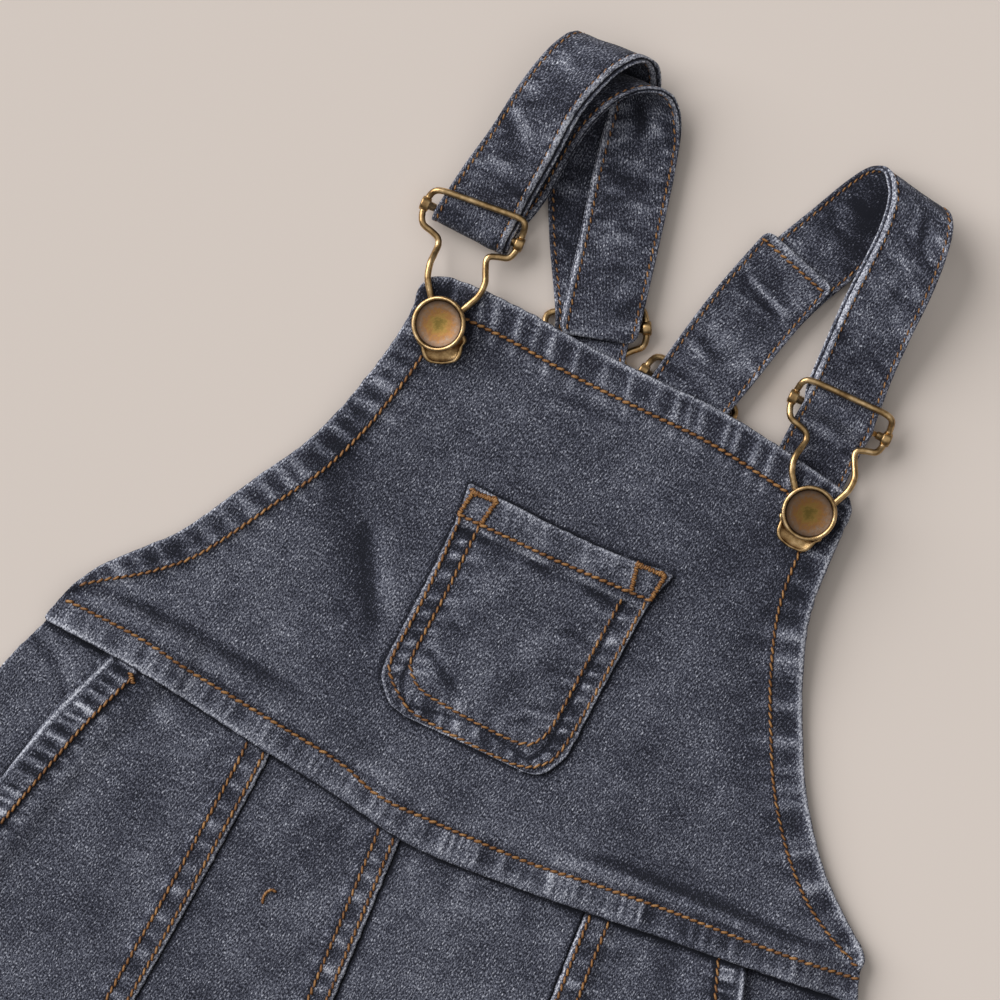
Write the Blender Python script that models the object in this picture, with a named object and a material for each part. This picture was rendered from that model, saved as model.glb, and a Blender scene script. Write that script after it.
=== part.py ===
"""Child's denim dungarees, laid flat with the front up.

Sizes are in millimetres and become metres where a mesh is made. X runs across the garment, +Y to the
shoulder straps and +Z up from the surface it lies on. The origin is under the middle of the back waist.
Every cloth piece is a wall between a lower and an upper height, worked out over the piece's plan.
"""

import math

import bmesh
import bpy
from mathutils import Matrix, Vector

MM = 0.001
GAP = 0.3  # air between pieces that touch
DENIM = 1.4  # one layer of cloth
HEM = 0.9  # what a turned hem adds
STRAP = 1.6  # a sewn double strap
WIRE_R = 0.85
BAR_R = 0.9

WAIST_LAP = 9.0  # how far the trousers reach up under the bib
CROTCH_Y = -205.0
HEM_Y = -590.0
BACK_WAIST_Y = -8.0
HEM_WIDTH = 11.0
SEAM_BAND = 8.5  # width of the turned cloth beside a topstitched seam
MOUTH_LAP = 14.0  # how far a hip piece reaches under the pocket mouth
MOUTH_END_Y = -122.0  # where the pocket mouth meets the side seam
CROWN = 1.6  # how far the air inside lifts the front
BACK_RISE = 4.5  # height of the back bib's top over its buttons
BIB_HUMP = 4.75  # how far the front bib rises over the back hardware
BIB_REST = DENIM + 2 * GAP
BIB_HEIGHT = 150.0

# Edge of the bib: y, left x, right x
BIB_SIDES = (
    (0, -142.5, 149.5),
    (10, -139.6, 146.0),
    (16, -137.4, 144.8),
    (24, -133.6, 136.0),
    (34, -126.0, 124.4),
    (45, -116.4, 114.4),
    (59, -107.4, 105.0),
    (74, -98.4, 96.8),
    (88, -90.6, 89.6),
    (104, -85.0, 84.6),
    (124, -79.2, 81.0),
    (139, -76.6, 79.4),
    (150, -78.0, 78.6),
)
# Lower fold of the bib: x, y
BIB_LIP = (
    (-143, 1.3),
    (-108, -0.8),
    (-65, -6.5),
    (-31, -10.8),
    (-3, -15.0),
    (33, -13.0),
    (89, -7.1),
    (150, -0.8),
)
# Top edge of the bib: x, y
BIB_TOP = (
    (-78, 151.0),
    (-74, 155.2),
    (-66, 157.3),
    (-45, 157.6),
    (-20, 155.8),
    (6, 155.2),
    (28, 154.9),
    (49, 152.5),
    (79, 147.7),
)
# Chest pocket: y, left x, right x
POCKET_SIDES = (
    (22, -23.0, 19.0),
    (23.5, -28.5, 24.0),
    (28, -33.4, 28.2),
    (33, -35.9, 30.2),
    (47, -35.7, 31.0),
    (69, -34.9, 32.2),
    (89, -34.8, 33.7),
    (99.6, -35.9, 37.1),
)
POCKET_HEM = 10.5
POCKET_PUFF = 1.0
# Trousers: y, left side seam x, right side seam x, princess seam x, inseam x
LEG_ROWS = (
    (9, -137.0, 143.0, 56.5, 0),
    (-2, -142.4, 148.4, 56.8, 0),
    (-20, -148.6, 152.6, 57.4, 0),
    (-60, -157.0, 159.0, 60.0, 0),
    (-110, -163.0, 164.5, 64.0, 0),
    (-160, -166.0, 167.0, 68.0, 0),
    (-205, -167.0, 168.0, 71.5, 0.2),
    (-214, -166.6, 167.4, 72.3, 5.0),
    (-232, -165.4, 166.2, 73.5, 10.0),
    (-270, -162.6, 163.4, 75.0, 15.5),
    (-340, -158.4, 159.4, 78.0, 21.5),
    (-420, -155.4, 156.4, 82.0, 26.5),
    (-500, -154.2, 155.2, 86.5, 30.5),
    (-590, -155.2, 156.4, 92.0, 33.5),
)
# Centre front seam: y, x
CENTRE_SEAM = ((-6, -7.2), (-71, -4.7), (-150, -2.0), (-205, 0.0))
# Mouth of the slanted pocket, mirrored for the right: y, x
MOUTH = (
    (9, 111.0),
    (-3, 115.2),
    (-23, 122.6),
    (-44, 128.6),
    (-62, 133.4),
    (-85, 140.6),
    (-106, 151.5),
    (-122, 163.0),
)
# Back bib: y, left x, right x, height of its underside
BACK_BIB_ROWS = (
    (0, -142.0, 146.0, 0.0),
    (8, -137.5, 141.0, 0.0),
    (18, -127.0, 131.0, 0.0),
    (32, -104.0, 108.0, 0.0),
    (50, -82.0, 87.0, 0.0),
    (70, -62.0, 68.0, 0.0),
    (84, -50.0, 57.0, 0.6),
    (96, -41.0, 49.0, 2.6),
    (108, -34.0, 42.0, 4.2),
    (120, -28.5, 37.0, BACK_RISE),
    (136, -24.0, 33.0, BACK_RISE),
)
BACK_TOP_SLOPE = -0.27  # the narrow top lies a little askew
# Soft folds in the front of the trousers: x, y, turn in degrees, length, width, height
FOLDS = (
    (-84, -150, 68, 150, 26, 1.0),
    (96, -168, 112, 140, 24, 0.9),
    (-30, -232, 34, 90, 20, 0.9),
    (36, -240, 148, 90, 20, 0.9),
    (-118, -330, 84, 130, 24, 1.1),
    (104, -372, 76, 150, 24, 1.0),
    (-70, -452, 100, 150, 26, 0.9),
    (128, -500, 96, 120, 22, 0.9),
    (-128, -540, 88, 80, 22, 0.8),
)
# Soft troughs and ridges in the bib: x, y, turn, length, width, height
BIB_FOLDS = (
    (-58, 66, 70, 70, 22, -0.7),
    (-92, 28, 152, 60, 14, 0.7),
    (52, 22, 172, 90, 16, 0.6),
    (62, 96, 84, 60, 20, 0.6),
)

# A strap is one ribbon. Stations run along it: x, y, z of its middle, turn of its width in plan,
# tilt of its width (right edge up), width
STRAP_LEFT = (
    (-17.0, 149.0, 4.5, 28, 0, 24),
    (-18.8, 155.7, 4.1, 28, 0, 24.5),
    (-20.4, 160.7, 1.35, 28, 0, 25),
    (-21.6, 164.1, 2.1, 28, 0, 25),
    (-23.2, 167.5, 3.35, 28, 0, 25),
    (-28.0, 176.0, 1.9, 28, 0, 25),
    (-34.6, 187.5, 1.5, 24, 0, 25),
    (-41.6, 202.0, 1.6, 16, 0, 25),
    (-45.6, 219.0, 1.7, 6, 0, 24),
    (-48.0, 234.0, 2.3, 2, 0, 23),
    (-50.2, 242.2, 5.6, 2, 5, 22.6),
    (-53.8, 246.0, 11.8, 3, 12, 22.2),
    (-58.2, 243.8, 17.6, 4, 16, 21.8),
    (-62.2, 235.0, 19.2, 4, 16, 21.6),
    (-65.0, 221.0, 17.6, 2, 14, 22),
    (-66.6, 205.6, 13.8, -2, 10, 22.8),
    (-68.6, 192.0, 9.4, -5, 4, 24),
    (-69.6, 183.0, 6.3, -3, 0, 25),
    (-70.3, 175.6, 8.05, 0, 0, 25.6),
    (-70.2, 173.2, 7.55, -2, 0, 26),
    (-70.1, 171.9, 5.9, -2, 0, 26),
    (-69.9, 173.2, 4.1, -2, 0, 26),
    (-69.4, 176.2, 3.6, -1, 0, 25.6),
    (-66.8, 184.0, 3.7, -1, 0, 25),
    (-64.6, 194.0, 5.8, -1, 2, 25),
    (-63.2, 206.0, 9.0, 0, 8, 24.5),
    (-61.0, 218.0, 12.2, 4, 12, 24),
    (-56.6, 228.5, 14.2, 7, 14, 24),
    (-50.0, 235.8, 13.8, 7, 14, 24),
    (-43.0, 239.2, 10.8, 3, 12, 24),
    (-37.4, 237.2, 7.8, -2, 8, 24),
    (-33.6, 230.0, 5.8, -4, 3, 25),
    (-31.4, 220.0, 5.2, 0, 0, 26),
    (-28.8, 208.0, 5.0, 8, 0, 26),
    (-24.2, 188.0, 5.2, 13, 0, 25.6),
    (-20.4, 170.0, 5.7, 15, 0, 25.6),
    (-18.5, 161.4, 5.8, 16, 0, 25.4),
    (-17.9, 159.0, 5.75, 16, 0, 25),
)
STRAP_RIGHT = (
    (62.6, 137.0, 3.3, -3, 0, 24.5),
    (62.4, 150.0, 3.6, -3, 0, 24.6),
    (62.7, 160.0, 4.3, -3, 0, 24.6),
    (62.9, 164.2, 5.1, -3, 0, 24.6),
    (63.2, 169.0, 8.5, -2, 0, 24.6),
    (62.8, 171.6, 8.0, -2, 0, 24.6),
    (62.5, 176.4, 6.5, -2, 0, 24.6),
    (61.8, 188.0, 8.4, 0, 0, 24),
    (61.4, 203.0, 11.2, 0, 4, 24.2),
    (61.6, 217.0, 13.8, 0, 5, 24),
    (61.2, 229.6, 15.6, -2, 5, 23),
    (59.4, 239.6, 14.6, -5, 4, 23),
    (55.6, 245.2, 10.0, -9, 2, 24),
    (51.0, 243.8, 4.8, -14, 0, 25.5),
    (46.0, 235.6, 2.6, -21, 0, 26),
    (39.0, 221.0, 1.9, -27, 0, 26),
    (31.0, 204.0, 1.6, -24, 0, 26),
    (24.0, 184.0, 1.6, -18, 0, 26),
    (19.4, 168.0, 2.2, -11, 0, 26),
    (17.4, 160.8, 3.1, -9, 0, 26),
    (16.2, 153.6, 1.4, -9, 0, 26.4),
    (15.9, 151.0, 1.8, -9, 0, 26.4),
    (15.7, 149.7, 3.5, -9, 0, 26.4),
    (15.9, 151.0, 5.2, -9, 0, 26.4),
    (16.4, 153.8, 5.65, -9, 0, 27),
    (20.0, 170.0, 5.2, -12, 0, 28.4),
    (23.4, 185.0, 4.4, -14, 0, 28.8),
    (27.0, 198.0, 4.3, -16, 0, 28.8),
    (30.8, 210.6, 4.8, -17, 0, 28.6),
)
STRAP_STEP = 5.5  # length of strap between two of its sections

# Half outline of a buckle's wire from its top middle to the loop round the button: x, y along the buckle
WIRE_HALF = (
    (0.0, 7.3),
    (6.5, 7.3),
    (12.6, 7.2),
    (15.4, 6.2),
    (16.3, 3.6),
    (16.35, 0.0),
    (16.2, -3.2),
    (14.8, -5.9),
    (11.4, -7.0),
    (8.9, -8.1),
    (8.2, -10.0),
    (9.0, -13.0),
    (10.2, -17.0),
    (9.6, -21.4),
    (7.2, -25.8),
    (4.9, -30.0),
    (4.0, -34.4),
    (2.6, -37.0),
    (0.0, -37.8),
)
BUTTON_REACH = 33.6  # from the slider bar to the button
COLLAR_X = 16.35
# Buckles: name, bar middle x, y, turn of the bar, turn of the loop, heights of the wire's top bar,
# its sides, its neck and its loop, which way the button faces
BUCKLES = (
    ("front_left", -70.4, 175.6, 1.5, 6.0, 8.3, 5.9, 6.4, 0.0, 1),
    ("front_right", 63.9, 169.0, 0.5, 7.0, 8.85, 6.0, 7.3, 0.0, 1),
    ("back_left", -19.5, 161.2, 28.0, 28.0, 1.25, 3.4, 1.9, 3.35, -1),
    ("back_right", 16.1, 153.4, -9.3, -5.0, 1.25, 3.5, 3.2, 3.35, -1),
)
# Button, from its axis outward: radius, height over the cloth
BUTTON_PROFILE = (
    (0.0, 0.0),
    (2.4, 0.0),
    (2.4, 2.4),
    (8.2, 2.5),
    (9.0, 3.1),
    (9.0, 4.0),
    (8.5, 4.6),
    (7.6, 4.5),
    (7.0, 3.9),
    (4.0, 3.6),
    (0.0, 3.5),
)
BUTTON_HEIGHT = 4.6
TONGUE = ((-4.2, -38.9), (-5.2, -40.6), (-4.4, -42.4), (-4.6, -44.0), (-3.0, -46.0), (0.0, -46.7))

DENIM_LOOK = ((0.085, 0.095, 0.125), 0.9, 0.0)
BRASS_LOOK = ((0.42, 0.30, 0.12), 0.35, 1.0)
BUTTON_LOOK = ((0.20, 0.12, 0.06), 0.42, 1.0)


# ---------------------------------------------------------------- curves and heights


def ramp(value):
    """0 below 0, 1 above 1, smooth between."""
    value = min(1.0, max(0.0, value))
    return value * value * (3.0 - 2.0 * value)


def mix(a, b, share):
    return a + (b - a) * share


def read(table, at, column=1):
    """A smooth curve through one column of a table, whose first column is sorted either way."""
    rows = table if table[0][0] < table[-1][0] else table[::-1]
    at = min(rows[-1][0], max(rows[0][0], at))
    i = 0
    while i < len(rows) - 2 and at > rows[i + 1][0]:
        i += 1
    x0, x1 = rows[i][0], rows[i + 1][0]
    y0, y1 = rows[i][column], rows[i + 1][column]

    def slope(j):
        a, b = rows[max(0, j - 1)], rows[min(len(rows) - 1, j + 1)]
        return (b[column] - a[column]) / (b[0] - a[0])

    h = x1 - x0
    t = (at - x0) / h
    return (
        y0 * (2 * t**3 - 3 * t**2 + 1)
        + slope(i) * h * (t**3 - 2 * t**2 + t)
        + y1 * (3 * t**2 - 2 * t**3)
        + slope(i + 1) * h * (t**3 - t**2)
    )


def folds_at(folds, x, y):
    """Sum of soft folds, each a long low hill."""
    total = 0.0
    for fx, fy, turn, length, width, height in folds:
        angle = math.radians(turn)
        along = (x - fx) * math.cos(angle) + (y - fy) * math.sin(angle)
        across = -(x - fx) * math.sin(angle) + (y - fy) * math.cos(angle)
        total += height * math.exp(-((2 * along / length) ** 2) - (2 * across / width) ** 2)
    return total


def lip_y(x):
    return read(BIB_LIP, x)


def side_x(y, side):
    return read(LEG_ROWS, y, 1 if side < 0 else 2)


def mouth_x(y):
    return read(MOUTH, y)


def centre_x(y):
    return read(CENTRE_SEAM, y) if y > CROTCH_Y else 0.0


def front_lift(x, y):
    """Rise of the trouser front over the back: air inside, and soft folds."""
    side = -1 if x < 0 else 1
    to_side = abs(side_x(y, side)) - abs(x)
    to_inner = abs(x) - read(LEG_ROWS, y, 4) + 2.0 * max(0.0, y - CROTCH_Y)
    edge = ramp(min(to_side, to_inner) / 38.0)
    away_from_waist = ramp((lip_y(x) - 6.0 - y) / 40.0)
    return edge * (CROWN * (0.55 + 0.45 * away_from_waist) + away_from_waist * folds_at(FOLDS, x, y))


def mouth_lift(x, y):
    """Rise of a side front over its hip piece."""
    inside = mouth_x(max(y, MOUTH_END_Y)) - abs(x)
    near = ramp((MOUTH_LAP + 9.0 - inside) / 8.0)
    return (DENIM + GAP) * near * ramp((y - MOUTH_END_Y + 4.0) / 14.0 + 0.6)


def side_under(x, y):
    return DENIM + GAP + front_lift(x, y) + mouth_lift(x, y)


def centre_under(x, y):
    return DENIM + GAP + front_lift(x, y)


def trousers_top(x, y):
    """Upper face of the trouser front, where the bib's lower edge lies on it."""
    past_mouth = abs(x) - mouth_x(y)
    inside = min(abs(x), mouth_x(y)) * (1 if x > 0 else -1)
    lifted = side_under(inside, y) if abs(x) > read(LEG_ROWS, y, 3) else centre_under(x, y)
    return mix(lifted + DENIM + HEM, 2 * (DENIM + GAP), ramp((past_mouth - 8.0) / 20.0))


def bib_free(x, y):
    """Underside of the bib away from the waist."""
    over_back = ramp((y - 66.0) / 48.0) * ramp((114.0 - abs(x - 2.0)) / 40.0)
    return BIB_REST + BIB_HUMP * over_back + 0.25 + folds_at(BIB_FOLDS, x, y) * ramp((110.0 - abs(x)) / 40.0)


def bib_under(x, y):
    lap = max(trousers_top(x + dx, lip_y(x)) for dx in (-6.0, 0.0, 6.0)) + GAP
    return mix(bib_free(x, y), lap, ramp((lip_y(x) + WAIST_LAP + 13.0 - y) / 9.0))


def bib_hem(u, y, top):
    """1 where the bib's edge is turned, 0 inside."""
    from_side = 1.0 - ramp((min(u, 1.0 - u) - 0.066) / 0.028)
    from_top = 1.0 - ramp((top - y - HEM_WIDTH) / 3.0)
    return max(from_side if y > 14.0 else 0.6 * from_side, from_top)


# ---------------------------------------------------------------- mesh makers


def keep(name, mesh, look):
    """One object with its own material."""
    colour, roughness, metallic = look
    material = bpy.data.materials.new(name)
    material.use_nodes = True
    shader = material.node_tree.nodes["Principled BSDF"]
    shader.inputs["Base Color"].default_value = (*colour, 1.0)
    shader.inputs["Roughness"].default_value = roughness
    shader.inputs["Metallic"].default_value = metallic
    mesh.materials.append(material)
    piece = bpy.data.objects.new(name, mesh)
    bpy.context.scene.collection.objects.link(piece)
    mesh.shade_smooth()
    mesh.set_sharp_from_angle(angle=math.radians(40))
    return piece


def mesh_of(name, points, faces):
    """A mesh in metres from points in millimetres, with its faces pointing out."""
    bm = bmesh.new()
    corners = [bm.verts.new(Vector(p) * MM) for p in points]
    for face in faces:
        bm.faces.new([corners[i] for i in face])
    bmesh.ops.recalc_face_normals(bm, faces=bm.faces)
    mesh = bpy.data.meshes.new(name)
    bm.to_mesh(mesh)
    bm.free()
    return mesh


def wall(name, rows, look=DENIM_LOOK):
    """A closed wall. rows[i][j] is (x, y, lower z, upper z)."""
    high, wide = len(rows), len(rows[0])
    points = [(x, y, low) for row in rows for x, y, low, top in row]
    points += [(x, y, top) for row in rows for x, y, low, top in row]
    shift = high * wide

    def at(i, j, upper):
        return i * wide + j + (shift if upper else 0)

    faces = []
    for i in range(high - 1):
        for j in range(wide - 1):
            for upper in (False, True):
                faces.append(
                    (at(i, j, upper), at(i, j + 1, upper), at(i + 1, j + 1, upper), at(i + 1, j, upper))
                )
    for j in range(wide - 1):
        for i in (0, high - 1):
            faces.append((at(i, j, False), at(i, j + 1, False), at(i, j + 1, True), at(i, j, True)))
    for i in range(high - 1):
        for j in (0, wide - 1):
            faces.append((at(i, j, False), at(i + 1, j, False), at(i + 1, j, True), at(i, j, True)))
    return keep(name, mesh_of(name, points, faces), look)


def smooth_path(points, step):
    """Points about one step apart on a smooth curve through rows of numbers."""
    rows = [points[0], *points, points[-1]]
    out = []
    for a, b, c, d in zip(rows, rows[1:], rows[2:], rows[3:]):
        length = math.dist(b[:3], c[:3])
        parts = max(1, round(length / step))
        for k in range(parts):
            t = k / parts
            out.append(
                tuple(
                    0.5
                    * (
                        2 * q
                        + (r - p) * t
                        + (2 * p - 5 * q + 4 * r - s) * t * t
                        + (3 * q - p - 3 * r + s) * t**3
                    )
                    for p, q, r, s in zip(a, b, c, d)
                )
            )
    out.append(tuple(points[-1]))
    return out


def ribbon(name, stations):
    """A strap: a closed band swept through its stations."""
    rungs = smooth_path(stations, STRAP_STEP)
    points = []
    for i, (x, y, z, turn, tilt, width) in enumerate(rungs):
        before, after = Vector(rungs[max(0, i - 1)][:3]), Vector(rungs[min(len(rungs) - 1, i + 1)][:3])
        a, b = math.radians(turn), math.radians(tilt)
        across = Vector((math.cos(a) * math.cos(b), math.sin(a) * math.cos(b), math.sin(b)))
        normal = across.cross((after - before).normalized()).normalized()
        middle = Vector((x, y, z))
        for share in (-0.5, 0.5):
            for face in (-0.5, 0.5):
                points.append(middle + across * (width * share) + normal * (STRAP * face))
    faces = [(0, 1, 3, 2)]
    for i in range(len(rungs) - 1):
        a, b = 4 * i, 4 * (i + 1)
        faces += [(a, a + 1, b + 1, b), (a + 2, a + 3, b + 3, b + 2)]
        faces += [(a, a + 2, b + 2, b), (a + 1, a + 3, b + 3, b + 1)]
    end = 4 * (len(rungs) - 1)
    faces.append((end, end + 1, end + 3, end + 2))
    return keep(name, mesh_of(name, points, faces), DENIM_LOOK)


def closed_tube(name, path, radius, sides):
    """A ring of wire along a closed path."""
    count = len(path)
    points = []
    for i, p in enumerate(path):
        along = (Vector(path[(i + 1) % count]) - Vector(path[i - 1])).normalized()
        side = along.cross(Vector((0, 0, 1))).normalized()
        up = side.cross(along)
        for k in range(sides):
            angle = 2 * math.pi * (k + 0.5) / sides
            points.append(Vector(p) + (side * math.cos(angle) + up * math.sin(angle)) * radius)
    faces = []
    for i in range(count):
        for k in range(sides):
            a, b = i * sides, ((i + 1) % count) * sides
            n = (k + 1) % sides
            faces.append((a + k, a + n, b + n, b + k))
    return mesh_of(name, points, faces)


def turned(name, profile, sides, base):
    """A turned piece about +Z, from a profile that starts and ends on the axis."""
    points = [(0, 0, base + profile[0][1]), (0, 0, base + profile[-1][1])]
    rings = profile[1:-1]
    for radius, height in rings:
        for k in range(sides):
            angle = 2 * math.pi * k / sides
            points.append((radius * math.cos(angle), radius * math.sin(angle), base + height))
    faces = []
    for k in range(sides):
        n = (k + 1) % sides
        faces.append((0, 2 + k, 2 + n))
        last = 2 + (len(rings) - 1) * sides
        faces.append((1, last + k, last + n))
        for r in range(len(rings) - 1):
            a, b = 2 + r * sides, 2 + (r + 1) * sides
            faces.append((a + k, a + n, b + n, b + k))
    return mesh_of(name, points, faces)


# ---------------------------------------------------------------- cloth


def make_bib():
    columns = (0, 0.022, 0.045, 0.066, 0.094, 0.15, 0.21, 0.28, 0.35, 0.42, 0.47)
    columns += (0.53, 0.58, 0.65, 0.72, 0.79, 0.85, 0.906, 0.934, 0.955, 0.978, 1)
    heights = (0, 5, 10, 15, 20, 25, 34, 45, 59, 74, 88, 104, 118, 130, 136, 139, 145, 150)
    rows = []
    for nominal in heights:
        left, right = read(BIB_SIDES, nominal, 1), read(BIB_SIDES, nominal, 2)
        v = nominal / BIB_HEIGHT
        row = []
        for u in columns:
            x = mix(left, right, u)
            y = nominal + lip_y(x) * (1 - v) ** 2 + (read(BIB_TOP, x) - BIB_HEIGHT) * v**3
            low = bib_under(x, y)
            row.append((x, y, low, low + DENIM + HEM * bib_hem(u, y, read(BIB_TOP, x))))
        rows.append(row)
    return wall("bib", rows)


def bib_over(x, y):
    return bib_under(x, y) + DENIM


def make_pocket():
    columns = (0, 0.06, 0.13, 0.2, 0.35, 0.5, 0.65, 0.8, 0.87, 0.94, 1)
    heights = (22, 23.5, 28, 33, 42, 55, 69, 80, 88, 89.5, 99.6)
    rows = []
    for y in heights:
        left, right = read(POCKET_SIDES, y, 1), read(POCKET_SIDES, y, 2)
        row = []
        for u in columns:
            x = mix(left, right, u)
            puff = POCKET_PUFF * ramp(min(u, 1 - u) / 0.3) * ramp((y - 24) / 16.0)
            low = bib_over(x, y) + 0.5 + puff
            mouth = ramp((y - (99.6 - POCKET_HEM)) / 0.5)
            row.append((x, y, low, low + DENIM - 0.2 + 0.7 * mouth))
        rows.append(row)
    return wall("chest_pocket", rows)


def waist_y(x, nominal):
    """Rows of the trousers start along the bib's lip and straighten out below it."""
    return nominal + (lip_y(x) + WAIST_LAP) * ramp((nominal + 60.0) / 60.0)


TROUSER_YS = (0, -7, -14, -24, -40, -58, -78, -98, -118, -128, -150, -178, -205)
LEG_YS = (-214, -232, -258, -290, -325, -360, -395, -430, -465, -500, -535, -568, -580, -590)


def front_rows(side, part):
    """Rows of a front panel: part is "side" or "centre"."""
    rows = []
    for nominal in TROUSER_YS + LEG_YS:
        edge = read(LEG_ROWS, nominal, 3)
        outer = min(abs(side_x(nominal, side)), mouth_x(nominal) if nominal > MOUTH_END_Y else 999.0)
        inner = read(LEG_ROWS, nominal, 4) if nominal < CROTCH_Y - 1 else side * centre_x(nominal)
        if part == "side":
            a, b = edge + GAP / 2, outer
            bands = (0, 0.4, SEAM_BAND, SEAM_BAND + 2)
            spread = [mix(a + SEAM_BAND + 2, b, k / 5) for k in range(1, 6)]
        else:
            a, b = inner + GAP / 2, edge - GAP / 2
            bands = (0, SEAM_BAND, SEAM_BAND + 2) if side < 0 else (0, 4)
            spread = [mix(a + bands[-1], b, k / 4) for k in range(1, 5)]
        row = []
        for away in [a + w for w in bands] + spread:
            x = side * away
            y = waist_y(x, nominal)
            low = side_under(x, y) if part == "side" else centre_under(x, y)
            band = 1.0 - ramp((away - a - SEAM_BAND) / 2.0)
            raised = HEM * band if part == "side" or (side < 0 and y > CROTCH_Y) else 0.0
            turn_up = HEM * ramp((HEM_Y + 16.0 - y) / 2.0)
            row.append((x, y, low, low + DENIM + max(raised, turn_up)))
        rows.append(row)
    return rows


def make_hip(name, side):
    rows = []
    for y in (9, 0, -10, -24, -42, -62, -84, -104, -116):
        outer = abs(side_x(y, side))
        inner = mouth_x(y) - MOUTH_LAP
        rows.append(
            [
                (side * mix(inner, outer, k / 4), waist_y(outer * side, y - WAIST_LAP) if y > 0 else y)
                + (DENIM + GAP, 2 * DENIM + GAP)
                for k in range(5)
            ]
        )
    return wall(name, rows)


def make_back_leg(name, side):
    rows = []
    for nominal in (BACK_WAIST_Y,) + TROUSER_YS[3:] + LEG_YS:
        inner = max(read(LEG_ROWS, nominal, 4), GAP / 2)
        outer = abs(side_x(nominal, side))
        rows.append([(side * mix(inner, outer, k / 3), nominal, 0.0, DENIM) for k in range(4)])
    return wall(name, rows)


def make_back_bib():
    rows = []
    for y, left, right, low in BACK_BIB_ROWS:
        askew = ramp((y - 84.0) / 50.0)
        row = []
        for k in range(9):
            x = mix(left, right, k / 8)
            start = BACK_WAIST_Y + GAP if y == 0 else y
            row.append((x, start + askew * BACK_TOP_SLOPE * (x - 4.0), low, low + DENIM))
        rows.append(row)
    return wall("back_bib", rows)


# ---------------------------------------------------------------- metal


def buckle_point(buckle, x, y):
    """Plan position of a point of a buckle."""
    middle_x, middle_y, bar_turn, loop_turn = buckle[1:5]
    turn = math.radians(mix(bar_turn, loop_turn, ramp((-3.0 - y) / 8.0)))
    return (
        middle_x + x * math.cos(turn) - y * math.sin(turn),
        middle_y + x * math.sin(turn) + y * math.cos(turn),
    )


def cloth_at_button(buckle):
    """Height of the cloth face that a button is fixed to."""
    if buckle[9] < 0:
        return BACK_RISE - GAP
    x, y = buckle_point(buckle, 0, -BUTTON_REACH)
    around = [(x + dx, y + dy) for dx in (-8, 0, 8) for dy in (-6, 4, 14)]
    return max(bib_under(*p) for p in around) + DENIM + HEM + GAP


def wire_height(buckle, y):
    top, sides, neck, loop, faces = buckle[5:10]
    if faces > 0:
        loop = cloth_at_button(buckle) + WIRE_R + 0.1
    if y > 0:
        return mix(sides, top, ramp((y - 2.0) / 5.3))
    if y > -9:
        return mix(sides, neck, ramp((-2.0 - y) / 4.0))
    return mix(neck, loop, ramp((-9.0 - y) / 9.0))


def make_buckle(buckle):
    """Bent wire frame with a flat tongue below the button."""
    name = "buckle_" + buckle[0]
    half = smooth_path([(x, y, 0.0) for x, y in WIRE_HALF], 2.9)
    outline = [(x, y) for x, y, z in half] + [(-x, y) for x, y, z in half[-2:0:-1]]
    path = [(*buckle_point(buckle, x, y), wire_height(buckle, y)) for x, y in outline]
    piece = keep(name, closed_tube(name, path, WIRE_R, 6), BRASS_LOOK)

    edge = list(TONGUE) + [(-x, y) for x, y in TONGUE[-2::-1]]
    edge = [(-4.2, -36.9)] + edge + [(4.2, -36.9)]
    middle = wire_height(buckle, -40.0)
    points = [(*buckle_point(buckle, x, y), middle + z) for z in (-0.62, 0.62) for x, y in edge]
    n = len(edge)
    faces = [tuple(range(n)), tuple(range(n, 2 * n))]
    faces += [(i, (i + 1) % n, n + (i + 1) % n, n + i) for i in range(n)]
    plate = keep(name + "_tongue_tool", mesh_of(name + "_tongue_tool", points, faces), BRASS_LOOK)
    plate.hide_render = True
    plate.display_type = "WIRE"
    join = piece.modifiers.new("tongue", "BOOLEAN")
    join.operation = "UNION"
    join.object = plate
    return piece


def make_slider(buckle):
    """Cross bar with a collar round each side of the wire."""
    name = "slider_" + buckle[0]
    turn = math.radians(buckle[3])
    place = Matrix.Translation(Vector((buckle[1], buckle[2], buckle[6])) * MM) @ Matrix.Rotation(turn, 4, "Z")
    bm = bmesh.new()
    bmesh.ops.create_cone(
        bm,
        cap_ends=True,
        segments=8,
        radius1=BAR_R * MM,
        radius2=BAR_R * MM,
        depth=2 * (COLLAR_X - 1.5) * MM,
        matrix=Matrix.Rotation(math.pi / 2, 4, "Y"),
    )
    mesh = bpy.data.meshes.new(name)
    bm.to_mesh(mesh)
    bm.free()
    piece = keep(name, mesh, BRASS_LOOK)
    piece.matrix_world = place
    for side in (-1, 1):
        ring = collar_mesh(name + "_collar", side * COLLAR_X)
        tool = keep(f"{name}_collar_{side}", ring, BRASS_LOOK)
        tool.matrix_world = place
        tool.hide_render = True
        tool.display_type = "WIRE"
        join = piece.modifiers.new("collar", "BOOLEAN")
        join.operation = "UNION"
        join.object = tool
    return piece


def collar_mesh(name, x):
    """A short bead with a hole along Y for the wire."""
    sides = 8
    profile = ((1.22, -1.5), (1.9, -1.5), (2.25, 0.0), (1.9, 1.5), (1.22, 1.5))
    points = []
    for k in range(sides):
        angle = 2 * math.pi * (k + 0.5) / sides
        points += [(x + r * math.cos(angle), y, r * math.sin(angle)) for r, y in profile]
    n = len(profile)
    faces = []
    for k in range(sides):
        a, b = k * n, ((k + 1) % sides) * n
        faces += [(a + i, a + (i + 1) % n, b + (i + 1) % n, b + i) for i in range(n)]
    return mesh_of(name, points, faces)


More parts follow.
